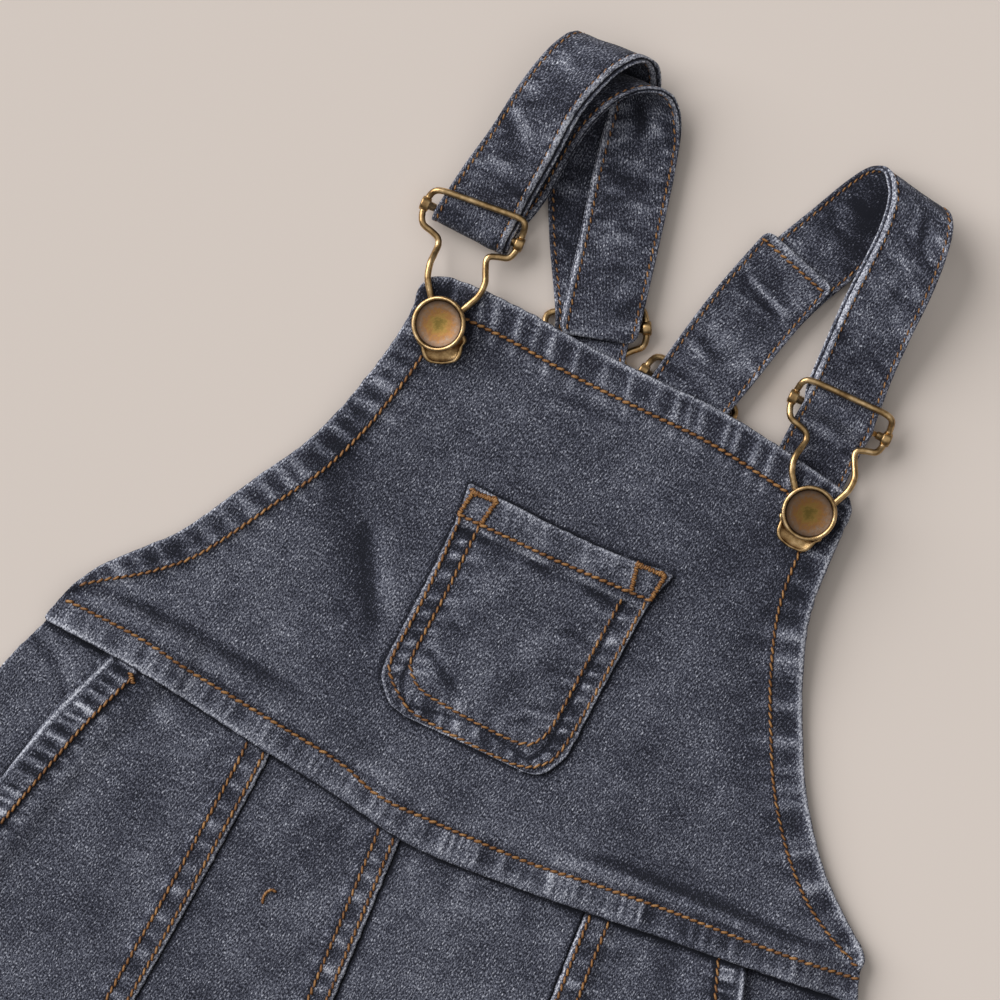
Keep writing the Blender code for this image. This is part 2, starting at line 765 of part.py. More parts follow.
def make_button(buckle):
    """Rivet button with a raised rim and a dished, bare face."""
    name = "button_" + buckle[0]
    x, y = buckle_point(buckle, 0, -BUTTON_REACH)
    mesh = turned(name, BUTTON_PROFILE, 20, 0.0)
    piece = keep(name, mesh, BUTTON_LOOK)
    flip = Matrix.Rotation(math.pi if buckle[9] < 0 else 0.0, 4, "X")
    height = cloth_at_button(buckle)
    if buckle[9] < 0:
        mesh.transform(Matrix.Diagonal((1, 1, height / BUTTON_HEIGHT, 1)))
    piece.matrix_world = Matrix.Translation(Vector((x, y, height)) * MM) @ flip
    return piece


def main():
    for old in list(bpy.data.objects):
        bpy.data.objects.remove(old)
    make_back_bib()
    for side, word in ((-1, "left"), (1, "right")):
        make_back_leg("back_leg_" + word, side)
        make_hip("hip_piece_" + word, side)
        wall("centre_front_" + word, front_rows(side, "centre"))
        wall("side_front_" + word, front_rows(side, "side"))
    make_bib()
    make_pocket()
    ribbon("strap_left", STRAP_LEFT)
    ribbon("strap_right", STRAP_RIGHT)
    for buckle in BUCKLES:
        make_buckle(buckle)
        make_slider(buckle)
        make_button(buckle)


main()
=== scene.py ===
"""Child's denim dungarees lying flat, front up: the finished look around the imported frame.

Sizes are in millimetres and become metres where a mesh is made. X runs across the garment, +Y to the
shoulder straps and +Z up. The height formulas are the part's own. So are the tables, but for small
departures at the armholes, the slanted pockets' mouths and the buckles.
"""

import math
from collections import namedtuple

import bpy
import numpy as np
from mathutils import Matrix, Vector
from mathutils.bvhtree import BVHTree


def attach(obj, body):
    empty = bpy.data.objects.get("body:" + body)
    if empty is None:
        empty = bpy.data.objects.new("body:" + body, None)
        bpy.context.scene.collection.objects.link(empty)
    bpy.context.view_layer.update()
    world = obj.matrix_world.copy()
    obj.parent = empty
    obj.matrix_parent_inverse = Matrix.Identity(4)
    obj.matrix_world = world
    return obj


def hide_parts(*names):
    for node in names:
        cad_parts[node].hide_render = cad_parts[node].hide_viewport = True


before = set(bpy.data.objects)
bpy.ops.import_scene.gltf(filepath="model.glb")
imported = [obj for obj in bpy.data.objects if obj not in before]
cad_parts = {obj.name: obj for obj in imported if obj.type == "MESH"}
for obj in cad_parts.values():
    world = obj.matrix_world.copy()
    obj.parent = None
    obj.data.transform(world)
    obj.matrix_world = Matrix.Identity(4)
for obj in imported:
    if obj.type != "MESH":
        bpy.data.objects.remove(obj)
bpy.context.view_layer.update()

MM = 0.001
GAP = 0.3  # air between two layers
DENIM = 1.4  # one layer
HEM = 0.9  # how much thicker a turned hem is
STRAP = 1.6
WIRE_R = 0.85  # radius of the solid's wire
WIRE_LOOK_R = 1.08  # and of the wire that shows
BAR_R = 0.9

WAIST_LAP = 9.0
CROTCH_Y = -205.0
HEM_Y = -590.0
BACK_WAIST_Y = -8.0
HEM_WIDTH = 11.0
SEAM_BAND = 9.0
MOUTH_LAP = 14.0
MOUTH_END_Y = -122.0
MOUTH_IN = 5.5  # the right pocket's mouth starts this much nearer the middle
MOUTH_OUT = 2.2  # the left one lies this much further out
MOUTH_HEM = {-1: 9.7, 1: 8.5}  # from the mouth's edge to its stitches
CROWN = 1.6  # how far the air inside lifts the trouser front
BACK_RISE = 4.5  # how high the back's narrow top lies
BIB_HUMP = 4.75  # how far that lifts the bib
BIB_REST = DENIM + 2 * GAP
BIB_HEIGHT = 150.0
BACK_TOP_SLOPE = -0.27

STITCH = 2.65  # from one stitch to the next
STITCH_SINK = 0.2  # how deep a thread is pressed into the cloth
THREAD_R = 0.41

# Edge of the bib: y, left x, right x
BIB_SIDES = (
    (0, -142.5, 149.5), (10, -139.6, 146), (16, -137.4, 144.8), (24, -132.8, 135.4), (34, -124.3, 124),
    (45, -114.6, 114.2), (59, -106.4, 104.2), (74, -98.2, 96.2), (88, -90, 89.4), (104, -83.7, 83.4),
    (114, -81, 81.4), (124, -78.6, 80.8), (139, -76.4, 80.4), (150, -78, 80.4),
)
# Lower fold of the bib: x, y
BIB_LIP = (
    (-143, 1.3), (-108, -0.8), (-65, -6.5), (-31, -10.8), (-3, -15), (33, -13), (89, -7.1), (150, -0.8),
)
# Top edge of the bib: x, y
BIB_TOP = (
    (-78, 151), (-74, 155.2), (-66, 157.3), (-45, 157.6), (-20, 155.8), (6, 155.2), (28, 154.9),
    (49, 152.5), (79, 147.7),
)
# Chest pocket: y, left x, right x
POCKET_SIDES = (
    (22, -23, 19), (23.5, -28.5, 24), (28, -33.4, 28.2), (33, -35.9, 30.2), (47, -35.7, 31),
    (69, -34.9, 32.2), (89, -34.8, 33.7), (99.6, -35.9, 37.1),
)
POCKET_TOP = 99.6
POCKET_HEM = 10.5
POCKET_PUFF = 1.0
# Trousers: y, left side seam x, right side seam x, princess seam x, inseam x
LEG_ROWS = (
    (9, -137, 143, 56.5, 0), (-2, -142.4, 148.4, 56.8, 0), (-20, -148.6, 152.6, 57.4, 0),
    (-60, -157, 159, 60, 0), (-110, -163, 164.5, 64, 0), (-160, -166, 167, 68, 0),
    (-205, -167, 168, 71.5, 0.2), (-214, -166.6, 167.4, 72.3, 5), (-232, -165.4, 166.2, 73.5, 10),
    (-270, -162.6, 163.4, 75, 15.5), (-340, -158.4, 159.4, 78, 21.5), (-420, -155.4, 156.4, 82, 26.5),
    (-500, -154.2, 155.2, 86.5, 30.5), (-590, -155.2, 156.4, 92, 33.5),
)
# Centre front seam: y, x
CENTRE_SEAM = ((-6, -7.2), (-71, -4.7), (-150, -2), (-205, 0))
# Mouth of the slanted pocket, mirrored for the right: y, x
MOUTH = (
    (9, 111), (-3, 115.2), (-23, 122.6), (-44, 128.6), (-62, 133.4), (-85, 140.6), (-106, 151.5),
    (-122, 163),
)
# Back bib: y, left x, right x, height of its underside
BACK_BIB_ROWS = (
    (0, -142, 146, 0), (8, -137.5, 141, 0), (18, -127, 131, 0), (32, -104, 108, 0), (50, -82, 87, 0),
    (70, -62, 68, 0), (84, -50, 57, 0.6), (96, -41, 49, 2.6), (108, -34, 42, 4.2),
    (120, -28.5, 37, BACK_RISE), (136, -24, 33, BACK_RISE),
)
# Soft folds in the trousers: x, y, turn in degrees, length, width, height
FOLDS = (
    (-84, -150, 68, 150, 26, 1), (96, -168, 112, 140, 24, 0.9), (-30, -232, 34, 90, 20, 0.9),
    (36, -240, 148, 90, 20, 0.9), (-118, -330, 84, 130, 24, 1.1), (104, -372, 76, 150, 24, 1),
    (-70, -452, 100, 150, 26, 0.9), (128, -500, 96, 120, 22, 0.9), (-128, -540, 88, 80, 22, 0.8),
)
# Soft troughs and ridges in the bib: x, y, turn, length, width, height
BIB_FOLDS = (
    (-58, 66, 70, 70, 22, -0.7), (-92, 28, 152, 60, 14, 0.7), (52, 22, 172, 90, 16, 0.6),
    (62, 96, 84, 60, 20, 0.6),
)
# Straps: x, y, z of the middle, turn of the width in plan, tilt of the width, width
STRAP_LEFT = (
    (-17, 149, 4.5, 28, 0, 24), (-18.8, 155.7, 4.1, 28, 0, 24.5), (-20.4, 160.7, 1.35, 28, 0, 25),
    (-21.6, 164.1, 2.1, 28, 0, 25), (-23.2, 167.5, 3.35, 28, 0, 25), (-28, 176, 1.9, 28, 0, 25),
    (-34.6, 187.5, 1.5, 24, 0, 25), (-41.6, 202, 1.6, 16, 0, 25), (-44.9, 219, 1.7, 6, 0, 25.4),
    (-46.3, 234, 2.3, 2, 0, 26.4), (-48.4, 242.2, 5.6, 2, 5, 26.2), (-52, 246, 11.8, 3, 12, 25.8),
    (-56.6, 243.8, 17.6, 4, 16, 25), (-61.3, 235, 19.2, 4, 16, 23.4), (-65, 221, 17.6, 2, 14, 22),
    (-66.6, 205.6, 13.8, -2, 10, 22.8), (-68.6, 192, 9.4, -5, 4, 24), (-69.6, 183, 6.3, -3, 0, 25),
    (-70.3, 175.6, 8.05, 0, 0, 25.6), (-70.2, 173.2, 7.55, -2, 0, 26), (-70.1, 171.9, 5.9, -2, 0, 26),
    (-69.9, 173.2, 4.1, -2, 0, 26), (-69.4, 176.2, 3.6, -1, 0, 25.6), (-66.8, 184, 3.7, -1, 0, 25),
    (-64.6, 194, 5.8, -1, 2, 25), (-63.2, 206, 9, 0, 8, 24.5), (-61, 218, 12.2, 4, 12, 24),
    (-56.6, 228.5, 14.2, 7, 14, 24), (-50, 235.8, 13.8, 7, 14, 24), (-43, 239.2, 10.8, 3, 12, 24),
    (-37.4, 237.2, 7.8, -2, 8, 24), (-33.6, 230, 5.8, -4, 3, 25), (-31.4, 220, 5.2, 0, 0, 26),
    (-28.8, 208, 5, 8, 0, 26), (-24.2, 188, 5.2, 13, 0, 25.6), (-20.4, 170, 5.7, 15, 0, 25.6),
    (-18.5, 161.4, 5.8, 16, 0, 25.4), (-17.9, 159, 5.75, 16, 0, 25),
)
STRAP_RIGHT = (
    (62.6, 137, 3.3, -3, 0, 24.5), (62.4, 150, 3.6, -3, 0, 24.6), (62.7, 160, 4.3, -3, 0, 24.6),
    (62.9, 164.2, 5.1, -3, 0, 24.6), (63.2, 169, 8.5, -2, 0, 24.6), (62.8, 171.6, 8, -2, 0, 24.6),
    (62.5, 176.4, 6.5, -2, 0, 24.6), (61.8, 188, 8.4, 0, 0, 24), (61.4, 203, 11.2, 0, 4, 24.2),
    (61.6, 217, 13.8, 0, 5, 24), (61.2, 229.6, 15.6, -2, 5, 23), (59.4, 239.6, 14.6, -5, 4, 23),
    (55.6, 245.2, 10, -9, 2, 24), (51, 243.8, 4.8, -14, 0, 25.5), (46, 235.6, 2.6, -21, 0, 26),
    (39, 221, 1.9, -27, 0, 26), (31, 204, 1.6, -24, 0, 26), (24, 184, 1.6, -18, 0, 26),
    (19.4, 168, 2.2, -11, 0, 26), (17.4, 160.8, 3.1, -9, 0, 26), (16.2, 153.6, 1.4, -9, 0, 26.4),
    (15.9, 151, 1.8, -9, 0, 26.4), (15.7, 149.7, 3.5, -9, 0, 26.4), (15.9, 151, 5.2, -9, 0, 26.4),
    (16.4, 153.8, 5.65, -9, 0, 27), (20, 170, 5.2, -12, 0, 28.4), (23.4, 185, 4.4, -14, 0, 28.8),
    (27, 198, 4.3, -16, 0, 28.8), (30.8, 210.6, 4.8, -17, 0, 28.6),
)
# Half outline of a buckle's wire: x, y along the buckle
WIRE_HALF = (
    (0, 7.3), (6.5, 7.3), (12.6, 7.2), (15.4, 6.2), (16.3, 3.6), (16.35, 0), (16.2, -3.2), (14.8, -5.9),
    (11.4, -7), (8.9, -8.1), (8.2, -10), (9, -13), (10.2, -17), (9.6, -21.4), (7.2, -25.8), (4.9, -30),
    (4, -34.4), (2.6, -37), (0, -37.8),
)
BUTTON_REACH = 33.6  # from a buckle's bar to its button
COLLAR_X = 16.35
# One buckle with its slider and button: the bar's middle, turn of the bar and of the loop, heights of the
# wire's top bar, its sides, its neck and its loop, and the way the button faces. Then, for the front ones,
# slope of the wire's top and pull of its left side, turn of the tongue, shift of the button along X and Y
# from the wire's own point, and its lean toward X and toward Y. Turns are in degrees
Buckle = namedtuple(
    "Buckle",
    "name x y bar_turn loop_turn top sides neck loop facing bend tongue_turn shift lean",
    defaults=((0.0, 0.0), 0.0, (0.0, 0.0), (0.0, 0.0)),
)
BUCKLES = (
    Buckle(
        "front_left", -70.4, 175.6, 1.5, 6, 8.3, 5.9, 6.4, 0, 1,
        bend=(0.07, 1.8), tongue_turn=20, shift=(1.3, -0.3), lean=(-13, 6),
    ),
    Buckle(
        "front_right", 63.9, 169, 0.5, 7, 8.85, 6, 7.3, 0, 1,
        tongue_turn=-14, shift=(-0.3, 1.3), lean=(-3, 3),
    ),
    Buckle("back_left", -19.5, 161.2, 28, 28, 1.25, 3.4, 1.9, 3.35, -1),
    Buckle("back_right", 16.1, 153.4, -9.3, -5, 1.25, 3.5, 3.2, 3.35, -1),
)
LEAN_LIFT = 0.08  # a leaning button stands this much higher for each degree
# Section of a tongue's edge: share of its outline, height
TONGUE_EDGE = (
    (0.86, -0.75), (0.96, -0.6), (1, -0.3), (1, 0.35), (0.95, 0.85), (0.88, 0.95), (0.81, 0.75),
    (0.74, 0.45), (0.4, 0.3),
)
# Collar round the wire, along the bar from outside in: place, radius across the bar
COLLAR_PROFILE = (
    (0, 0), (1.9, 0), (2.3, 0.2), (2.4, 0.6), (2.4, 2.6), (2.25, 2.95), (1.4, 3.15), (1.3, 4.9), (1, 5.1),
    (0, 5.1),
)
# Button, from its axis outward: radius, height over the cloth
BUTTON_PROFILE = (
    (0, 0), (2.4, 0), (2.4, 2.4), (7.6, 2.4), (8.5, 2.6), (8.95, 3.1), (9.05, 3.6), (8.95, 4.15),
    (8.7, 4.5), (8.3, 4.62), (7.95, 4.52), (7.75, 4.25), (7.66, 3.95), (7.3, 3.8), (6.4, 3.62), (5, 3.42),
    (3.2, 3.24), (1.5, 3.16), (0, 3.14),
)
BUTTON_HEIGHT = 4.6
FACE_RADIUS = 7.72
TONGUE = (
    (-6, -36.4), (-7.6, -37.6), (-8, -39.4), (-6.9, -40.6), (-6.6, -42.2), (-6, -44.1), (-4.2, -45.9),
    (0, -46.6),
)

# Stitching on the bib and the pocket: x, y
WAIST_STITCH = (
    (-139, 10), (-112, 8.9), (-90.5, 5.8), (-62.5, 2.7), (-35.6, -0.4), (-18.5, -4.9), (4.4, -4.8),
    (32.9, -3.9), (56.3, -1.2), (85.2, 1.6), (110.6, 3.3), (132.6, 5.3), (147.2, 7.1),
)
POCKET_OUTER = (
    (-33.6, 88.2), (-33.4, 60), (-34.6, 38.5), (-33.7, 33.6), (-31.6, 30.9), (-28.6, 28.5), (-24.8, 25.9),
    (-20.5, 24.1), (-4, 23), (15.5, 22.9), (23.4, 26), (27.6, 32.8), (29.6, 50), (32.1, 88.2),
)
POCKET_INNER = (
    (-27, 88.2), (-27.6, 62), (-28.8, 41), (-27.5, 36.8), (-24.7, 33.9), (-20, 31.6), (-2, 30),
    (14.5, 29.9), (19.6, 33.2), (21.9, 40.3), (23.2, 62), (24.8, 88.6),
)
# Long soft troughs in the bib, with painted shade in each trough and a paler ridge beside it: points, width,
# depth, tone
TROUGHS = (
    (
        ((-148, 11.5), (-135, 15.6), (-120, 18), (-97, 18.1), (-82, 16.4), (-62, 14.3), (-54, 12.8),
         (-44, 10)),
        2, 0.9, -1,
    ),
    (((6, 137.8), (-6, 137.4), (-16, 137.1), (-24, 136.2), (-32, 135.4)), 1.6, 0.4, -0.6),
    (
        ((141, 10.6), (128, 10.8), (117, 10), (98, 10), (84, 9), (60.6, 7.5), (48, 5.5), (34, 3.6)),
        1.9, 0.9, -1.5,
    ),
    (((-80, 118), (-74, 84), (-60, 62), (-48, 41), (-41, 28)), 6, 0.6, -0.75),
    (((-62, 76), (-58, 67), (-51, 55), (-45, 45), (-41, 37)), 3, 0.5, -1.3),
    (((78, 124), (72, 96), (80, 66), (104, 34)), 7, 0.4, -0.35),
)
BUTTON_SHADES = ((-64.6, 140.5), (70.4, 136.1))  # middles of the buttons' shadows on the bib

# Paler and darker patches of the cloth, some of the darker ones painted shade of folds, of the bib's lip and
# under the buttons: x, y, radius, tone
BIB_PATCHES = (
    (-84, 38, 26, 0.25), (56, 116, 20, -0.4), (84, 79, 12, 0.1), (66, 30, 22, -0.1), (84, -3, 16, -0.6),
    (106, -8, 11, -0.25), (-96, 3, 11, -0.25), (-52, 24, 12, -0.2), (0, -9, 8, -0.3), (47, -4, 9, 0.6),
    (-41, -6, 9, -0.6), (-22, -2, 7, 0.45), (-5, 148, 12, 0.4), (-102, 53, 9, 0.45), (-126, 24, 11, 0.4),
    (-134, 4, 8, 0.5), (-60, 79, 12, -0.35), (60, 128, 11, -0.4),
)
POCKET_PATCHES = ((-8, 28, 11, 0.5), (30, 78, 12, 0.3))
FRONT_PATCHES = (
    (20, -44, 20, 0.25), (-6.5, -62, 9, 0.4), (-115, -43, 14, 0.35), (-85, -12, 11, 0.3),
    (62, -31, 8, 0.3), (88, -22, 14, -0.25), (106, -18, 11, -0.25), (20, -19, 8, 0.3),
)
CLOTH_FADE = 0.06  # how much paler the washed cloth is all over
# Long soft troughs in the pocket, with painted shade as in the bib
POCKET_TROUGHS = (
    (((-34, 50), (-26, 45), (-14, 38), (-6, 34)), 1.8, 0.3, -0.6),
    (((-30, 60), (-22, 56), (-14, 52)), 1.5, 0.2, -0.45),
    (((24, 70), (15, 69), (6, 66)), 1.5, 0.2, -0.4),
    (((24, 58), (17, 57), (10, 54)), 1.4, 0.2, -0.4),
    (((23, 45), (17, 43), (9, 42)), 1.4, 0.25, -0.5),
    (((8, 33), (12, 37), (18, 40)), 1.4, 0.2, -0.5),
)

# ---------------------------------------------------------------- curves and heights


def ramp(value):
    """0 below 0, 1 above 1, smooth between."""
    value = np.clip(value, 0.0, 1.0)
    return value * value * (3.0 - 2.0 * value)


def mix(a, b, share):
    return a + (b - a) * share


def unit(vectors):
    return vectors / np.linalg.norm(vectors, axis=1)[:, None]


def bump(value):
    return np.exp(-value * value)


def patches(x, y, table):
    """Tone that paler and darker patches add; some darker ones are painted shade."""
    return sum(amount * bump(np.hypot(x - px, y - py) / radius) for px, py, radius, amount in table)


def read(table, at, column=1):
    """A smooth curve through one column of a table, whose first column is sorted either way."""
    rows = np.array(table if table[0][0] < table[-1][0] else table[::-1], float)
    keys, values = rows[:, 0], rows[:, column]
    slopes = np.empty(len(keys))
    slopes[1:-1] = (values[2:] - values[:-2]) / (keys[2:] - keys[:-2])
    slopes[0] = (values[1] - values[0]) / (keys[1] - keys[0])
    slopes[-1] = (values[-1] - values[-2]) / (keys[-1] - keys[-2])
    at = np.clip(at, keys[0], keys[-1])
    i = np.clip(np.searchsorted(keys, at, side="right") - 1, 0, len(keys) - 2)
    h = keys[i + 1] - keys[i]
    t = (at - keys[i]) / h
    return (
        values[i] * (2 * t**3 - 3 * t**2 + 1)
        + slopes[i] * h * (t**3 - 2 * t**2 + t)
        + values[i + 1] * (3 * t**2 - 2 * t**3)
        + slopes[i + 1] * h * (t**3 - t**2)
    )


def folds_at(folds, x, y):
    """Sum of soft folds, each a long low hill."""
    total = 0.0
    for fx, fy, turn, length, width, height in folds:
        angle = math.radians(turn)
        along = (x - fx) * math.cos(angle) + (y - fy) * math.sin(angle)
        across = -(x - fx) * math.sin(angle) + (y - fy) * math.cos(angle)
        total = total + height * np.exp(-((2 * along / length) ** 2) - (2 * across / width) ** 2)
    return total


def lip_y(x):
    return read(BIB_LIP, x)


def side_x(y, side):
    return read(LEG_ROWS, y, 1 if side < 0 else 2)


def mouth_x(y, side):
    """Distance of the pocket's mouth from the middle; side is -1 or 1, or any x on that side."""
    moved = MOUTH_IN * ramp((y + 80.0) / 50.0)
    return read(MOUTH, y) - np.where(np.asarray(side) > 0, moved, -MOUTH_OUT)


def mouth_line(side, inset=0.0, first=0):
    heights = np.array([y for y, _ in MOUTH[first:]], float)
    return Line(np.stack([side * (mouth_x(heights, side) - inset), heights], 1))


def centre_x(y):
    return np.where(y > CROTCH_Y, read(CENTRE_SEAM, y), 0.0)


def front_lift(x, y):
    """Rise of the trouser front over the back: air inside, and soft folds."""
    reach = np.where(x < 0, np.abs(side_x(y, -1)), side_x(y, 1))
    to_side = reach - np.abs(x)
    to_inner = np.abs(x) - read(LEG_ROWS, y, 4) + 2.0 * np.maximum(0.0, y - CROTCH_Y)
    edge = ramp(np.minimum(to_side, to_inner) / 38.0)
    away = ramp((lip_y(x) - 6.0 - y) / 40.0)
    return edge * (CROWN * (0.55 + 0.45 * away) + away * folds_at(FOLDS, x, y))


def mouth_lift(x, y):
    """Rise of a side front over its hip piece."""
    inside = mouth_x(np.maximum(y, MOUTH_END_Y), x) - np.abs(x)
    near = ramp((MOUTH_LAP + 9.0 - inside) / 8.0)
    return (DENIM + GAP) * near * ramp((y - MOUTH_END_Y + 4.0) / 14.0 + 0.6)


def side_under(x, y):
    return DENIM + GAP + front_lift(x, y) + mouth_lift(x, y)


def centre_under(x, y):
    return DENIM + GAP + front_lift(x, y)


def trousers_top(x, y):
    """Upper face of the trouser front, where the bib's lower edge lies on it."""
    past_mouth = np.abs(x) - mouth_x(y, x)
    inside = np.minimum(np.abs(x), mouth_x(y, x)) * np.where(x > 0, 1, -1)
    lifted = np.where(np.abs(x) > read(LEG_ROWS, y, 3), side_under(inside, y), centre_under(x, y))
    return mix(lifted + DENIM + HEM, 2 * (DENIM + GAP), ramp((past_mouth - 8.0) / 20.0))


def bib_free(x, y):
    """Underside of the bib away from the waist."""
    over_back = ramp((y - 66.0) / 48.0) * ramp((114.0 - np.abs(x - 2.0)) / 40.0)
    soft = folds_at(BIB_FOLDS, x, y) * ramp((110.0 - np.abs(x)) / 40.0)
    return BIB_REST + BIB_HUMP * over_back + 0.25 + soft


def bib_under(x, y):
    lap = GAP + np.max([trousers_top(x + dx, lip_y(x)) for dx in (-6.0, 0.0, 6.0)], axis=0)
    return mix(bib_free(x, y), lap, ramp((lip_y(x) + WAIST_LAP + 13.0 - y) / 9.0))


def waist_y(x, nominal):
    """Rows of the trousers start along the bib's lip and straighten out below it."""
    return nominal + (lip_y(x) + WAIST_LAP) * ramp((nominal + 60.0) / 60.0)


def smooth_path(points, step):
    """Points about one step apart on a smooth curve through rows of numbers."""
    points = [tuple(map(float, p)) for p in points]
    rows = np.array([points[0], *points, points[-1]])
    out = []
    for p, q, r, s in zip(rows, rows[1:], rows[2:], rows[3:]):
        length = np.linalg.norm((r - q)[:3])
        parts = max(1, round(length / step))
        t = (np.arange(parts) / parts)[:, None]
        square, cube = 2 * p - 5 * q + 4 * r - s, 3 * q - p - 3 * r + s
        out.append(0.5 * (2 * q + (r - p) * t + square * t * t + cube * t**3))
    out.append(rows[-1:])
    return np.concatenate(out)


# ---------------------------------------------------------------- lines, gathers and faces


class Line:
    """A curve in plan, with distances along it and away from it, positive on its left."""

    def __init__(self, points, step=2.5):
        self.points = smooth_path(points, step) if step else np.array(points, float)
        runs = np.diff(self.points, axis=0)
        lengths = np.hypot(runs[:, 0], runs[:, 1])
        self.along = np.concatenate([[0.0], np.cumsum(lengths)])
        self.length = self.along[-1]

    def near(self, x, y):
        x, y = np.broadcast_arrays(x, y)
        best, along, away = np.full(x.shape, 1e9), np.zeros(x.shape), np.zeros(x.shape)
        for start, a, b in zip(self.along, self.points, self.points[1:]):
            run = b - a
            size = math.hypot(*run)
            if size < 1e-9:
                continue
            t = np.clip(((x - a[0]) * run[0] + (y - a[1]) * run[1]) / size**2, 0.0, 1.0)
            dx, dy = x - a[0] - t * run[0], y - a[1] - t * run[1]
            far = np.hypot(dx, dy)
            closer = far < best
            best = np.where(closer, far, best)
            along = np.where(closer, start + t * size, along)
            away = np.where(closer, far * np.sign(run[0] * dy - run[1] * dx), away)
        return along, away

    def at(self, along):
        """Places on the line, and the direction there."""
        behind, here, ahead = (
            [np.interp(place, self.along, self.points[:, k]) for k in (0, 1)]
            for place in (np.maximum(along - 0.8, 0.0), along, np.minimum(along + 0.8, self.length))
        )
        dx, dy = ahead[0] - behind[0], ahead[1] - behind[1]
        size = np.hypot(dx, dy)
        return *here, dx / size, dy / size

    def beside(self, width, start=0.0, end=None):
        """A line to the left of this one. width is a number or a table along this line."""
        along = np.arange(start, end or self.length, 2.5)
        x, y, dx, dy = self.at(along)
        out = read(width, along) if isinstance(width, tuple) else width
        return Line(np.stack([x - dy * out, y + dx * out], 1), step=0)


class Puckers:
    """Uneven gathers along a seam."""

    def __init__(self, seed, length, period, spread=0.3, clusters=()):
        draw = np.random.RandomState(seed)
        count = int(length / period * 1.5) + 4
        self.places = np.cumsum(period * (1 + spread * draw.uniform(-1, 1, count))) - 2 * period
        self.strengths = draw.uniform(0.45, 1.0, count)
        self.widths = draw.uniform(0.75, 1.3, count)
        for start, end, pitch in clusters:
            apart = (self.places < start - 1.0) | (self.places > end + 1.0)
            close = np.arange(start, end, pitch)
            self.places = np.concatenate([self.places[apart], close])
            self.strengths = np.concatenate([self.strengths[apart], np.full(len(close), 1.15)])
            self.widths = np.concatenate([self.widths[apart], np.full(len(close), 0.8)])

    def at(self, along, width):
        """1 on each gather, 0 between."""
        total = np.zeros(np.shape(along))
        for place, strength, wide in zip(self.places, self.strengths, self.widths):
            total = np.maximum(total, strength * bump((along - place) / (width * wide)))
        return total


TURN = 6.283  # a full turn


def waves(x, y, size, seed, count=6):
    """Soft unevenness about 1 high, with waves of about the given size."""
    draw = np.random.RandomState(seed)
    total = 0.0
    for _ in range(count):
        angle, phase, scale = draw.uniform(0, TURN), draw.uniform(0, TURN), draw.uniform(0.7, 1.5)
        along = x * math.cos(angle) + y * math.sin(angle)
        total = total + np.sin(along * TURN / (size * scale) + phase)
    return total / count**0.5 / 1.2


def uneven(x, y, *parts):
    """Sum of waves, each with its height, size and seed."""
    return sum(height * waves(x, y, size, seed) for height, size, seed in parts)


def within(distance, limit, blur):
    """1 up to the limit, 0 a blur beyond it."""
    return 1.0 - ramp((distance - limit) / blur)


def stripes(distance, lines):
    """Sum of soft lines along an edge, each with its strength, distance from the edge and width."""
    return sum(strength * bump((distance - place) / width) for strength, place, width in lines)


def seam_band(along, away, width, puckers, skew=0.1, ridge=1.2, depth=0.42, inner=6.0, edge=True, dark=0.8):
    """Height and tone of a stitched hem whose edge is at away = 0 and whose stitches are at width."""
    place = along + skew * away
    light = puckers.at(place, ridge * (0.75 + 0.35 * away / width))
    inside = ramp((away - 0.6) / 2.6) * within(away, width - 1.1, 0.9)
    beyond = ramp((away - width - 0.4) / 0.9) * within(away, width + 1.2, inner)
    hollow = (1.0 - puckers.at(place, 2.1 * ridge)) * bump((away - 0.55 * width) / (0.34 * width))
    groove = bump((away - width) / 0.85)
    height = depth * (light * (inside + 0.5 * beyond) - 0.8 * hollow) - 0.3 * groove
    # Tone: paler on the gathers, which is wear; darker in the hollows between them as set by dark, partly
    # unfaded cloth and partly painted shade; painted shade in the groove of the stitches; a pale worn edge
    tone = inside * (1.5 * light - 0.15) - dark * hollow + beyond * (1.1 * light - 0.4) - groove
    if edge:
        tone = tone + 0.9 * bump(away / 0.7)
    return height, tone


def shade_line(distance, strength=1.0, width=0.8):
    """Tone of the cloth in the shadow beside a raised edge."""
    distance = np.maximum(distance, 0.0)
    return -strength * (1.9 * bump(distance / width) + 0.22 * bump(distance / 2.8))


def trough_at(points, width, x, y):
    """1 in a long soft trough, and 1 on the ridge beside it."""
    line = Line(points)
    along, away = line.near(x, y)
    start, end = 0.12 * line.length + 2.0, 0.25 * line.length + 2.0
    ends = ramp(along / start) * ramp((line.length - along) / end)
    return bump(away / width) * ends, bump((away - 1.7 * width) / (1.2 * width)) * ends


class Face:
    """What the face of a cloth adds to its plain wall: relief, tone, and where it has a hem's thickness."""

    def __init__(self, x, y, relief, tone):
        self.x, self.y, self.relief, self.tone = x, y, relief, tone
        self.hem = np.zeros(x.shape)

    def band(self, band, near, gain=1.0):
        """Adds the height and tone of a seam band where near is 1."""
        self.relief = self.relief + band[0] * near
        self.tone = self.tone + band[1] * near * gain

    def thicken(self, share):
        self.hem = np.maximum(self.hem, share)

    def troughs(self, table, gain, ridge_gain):
        """Adds long troughs, each with a ridge beside it; the tone is painted shade in the trough and paler
        on the ridge.
        """
        for points, width, depth, tone in table:
            trough, ridge = trough_at(points, width, self.x, self.y)
            self.relief = self.relief - depth * trough + 0.35 * depth * ridge
            self.tone = self.tone + gain * tone * trough - ridge_gain * tone * ridge


# ---------------------------------------------------------------- meshes


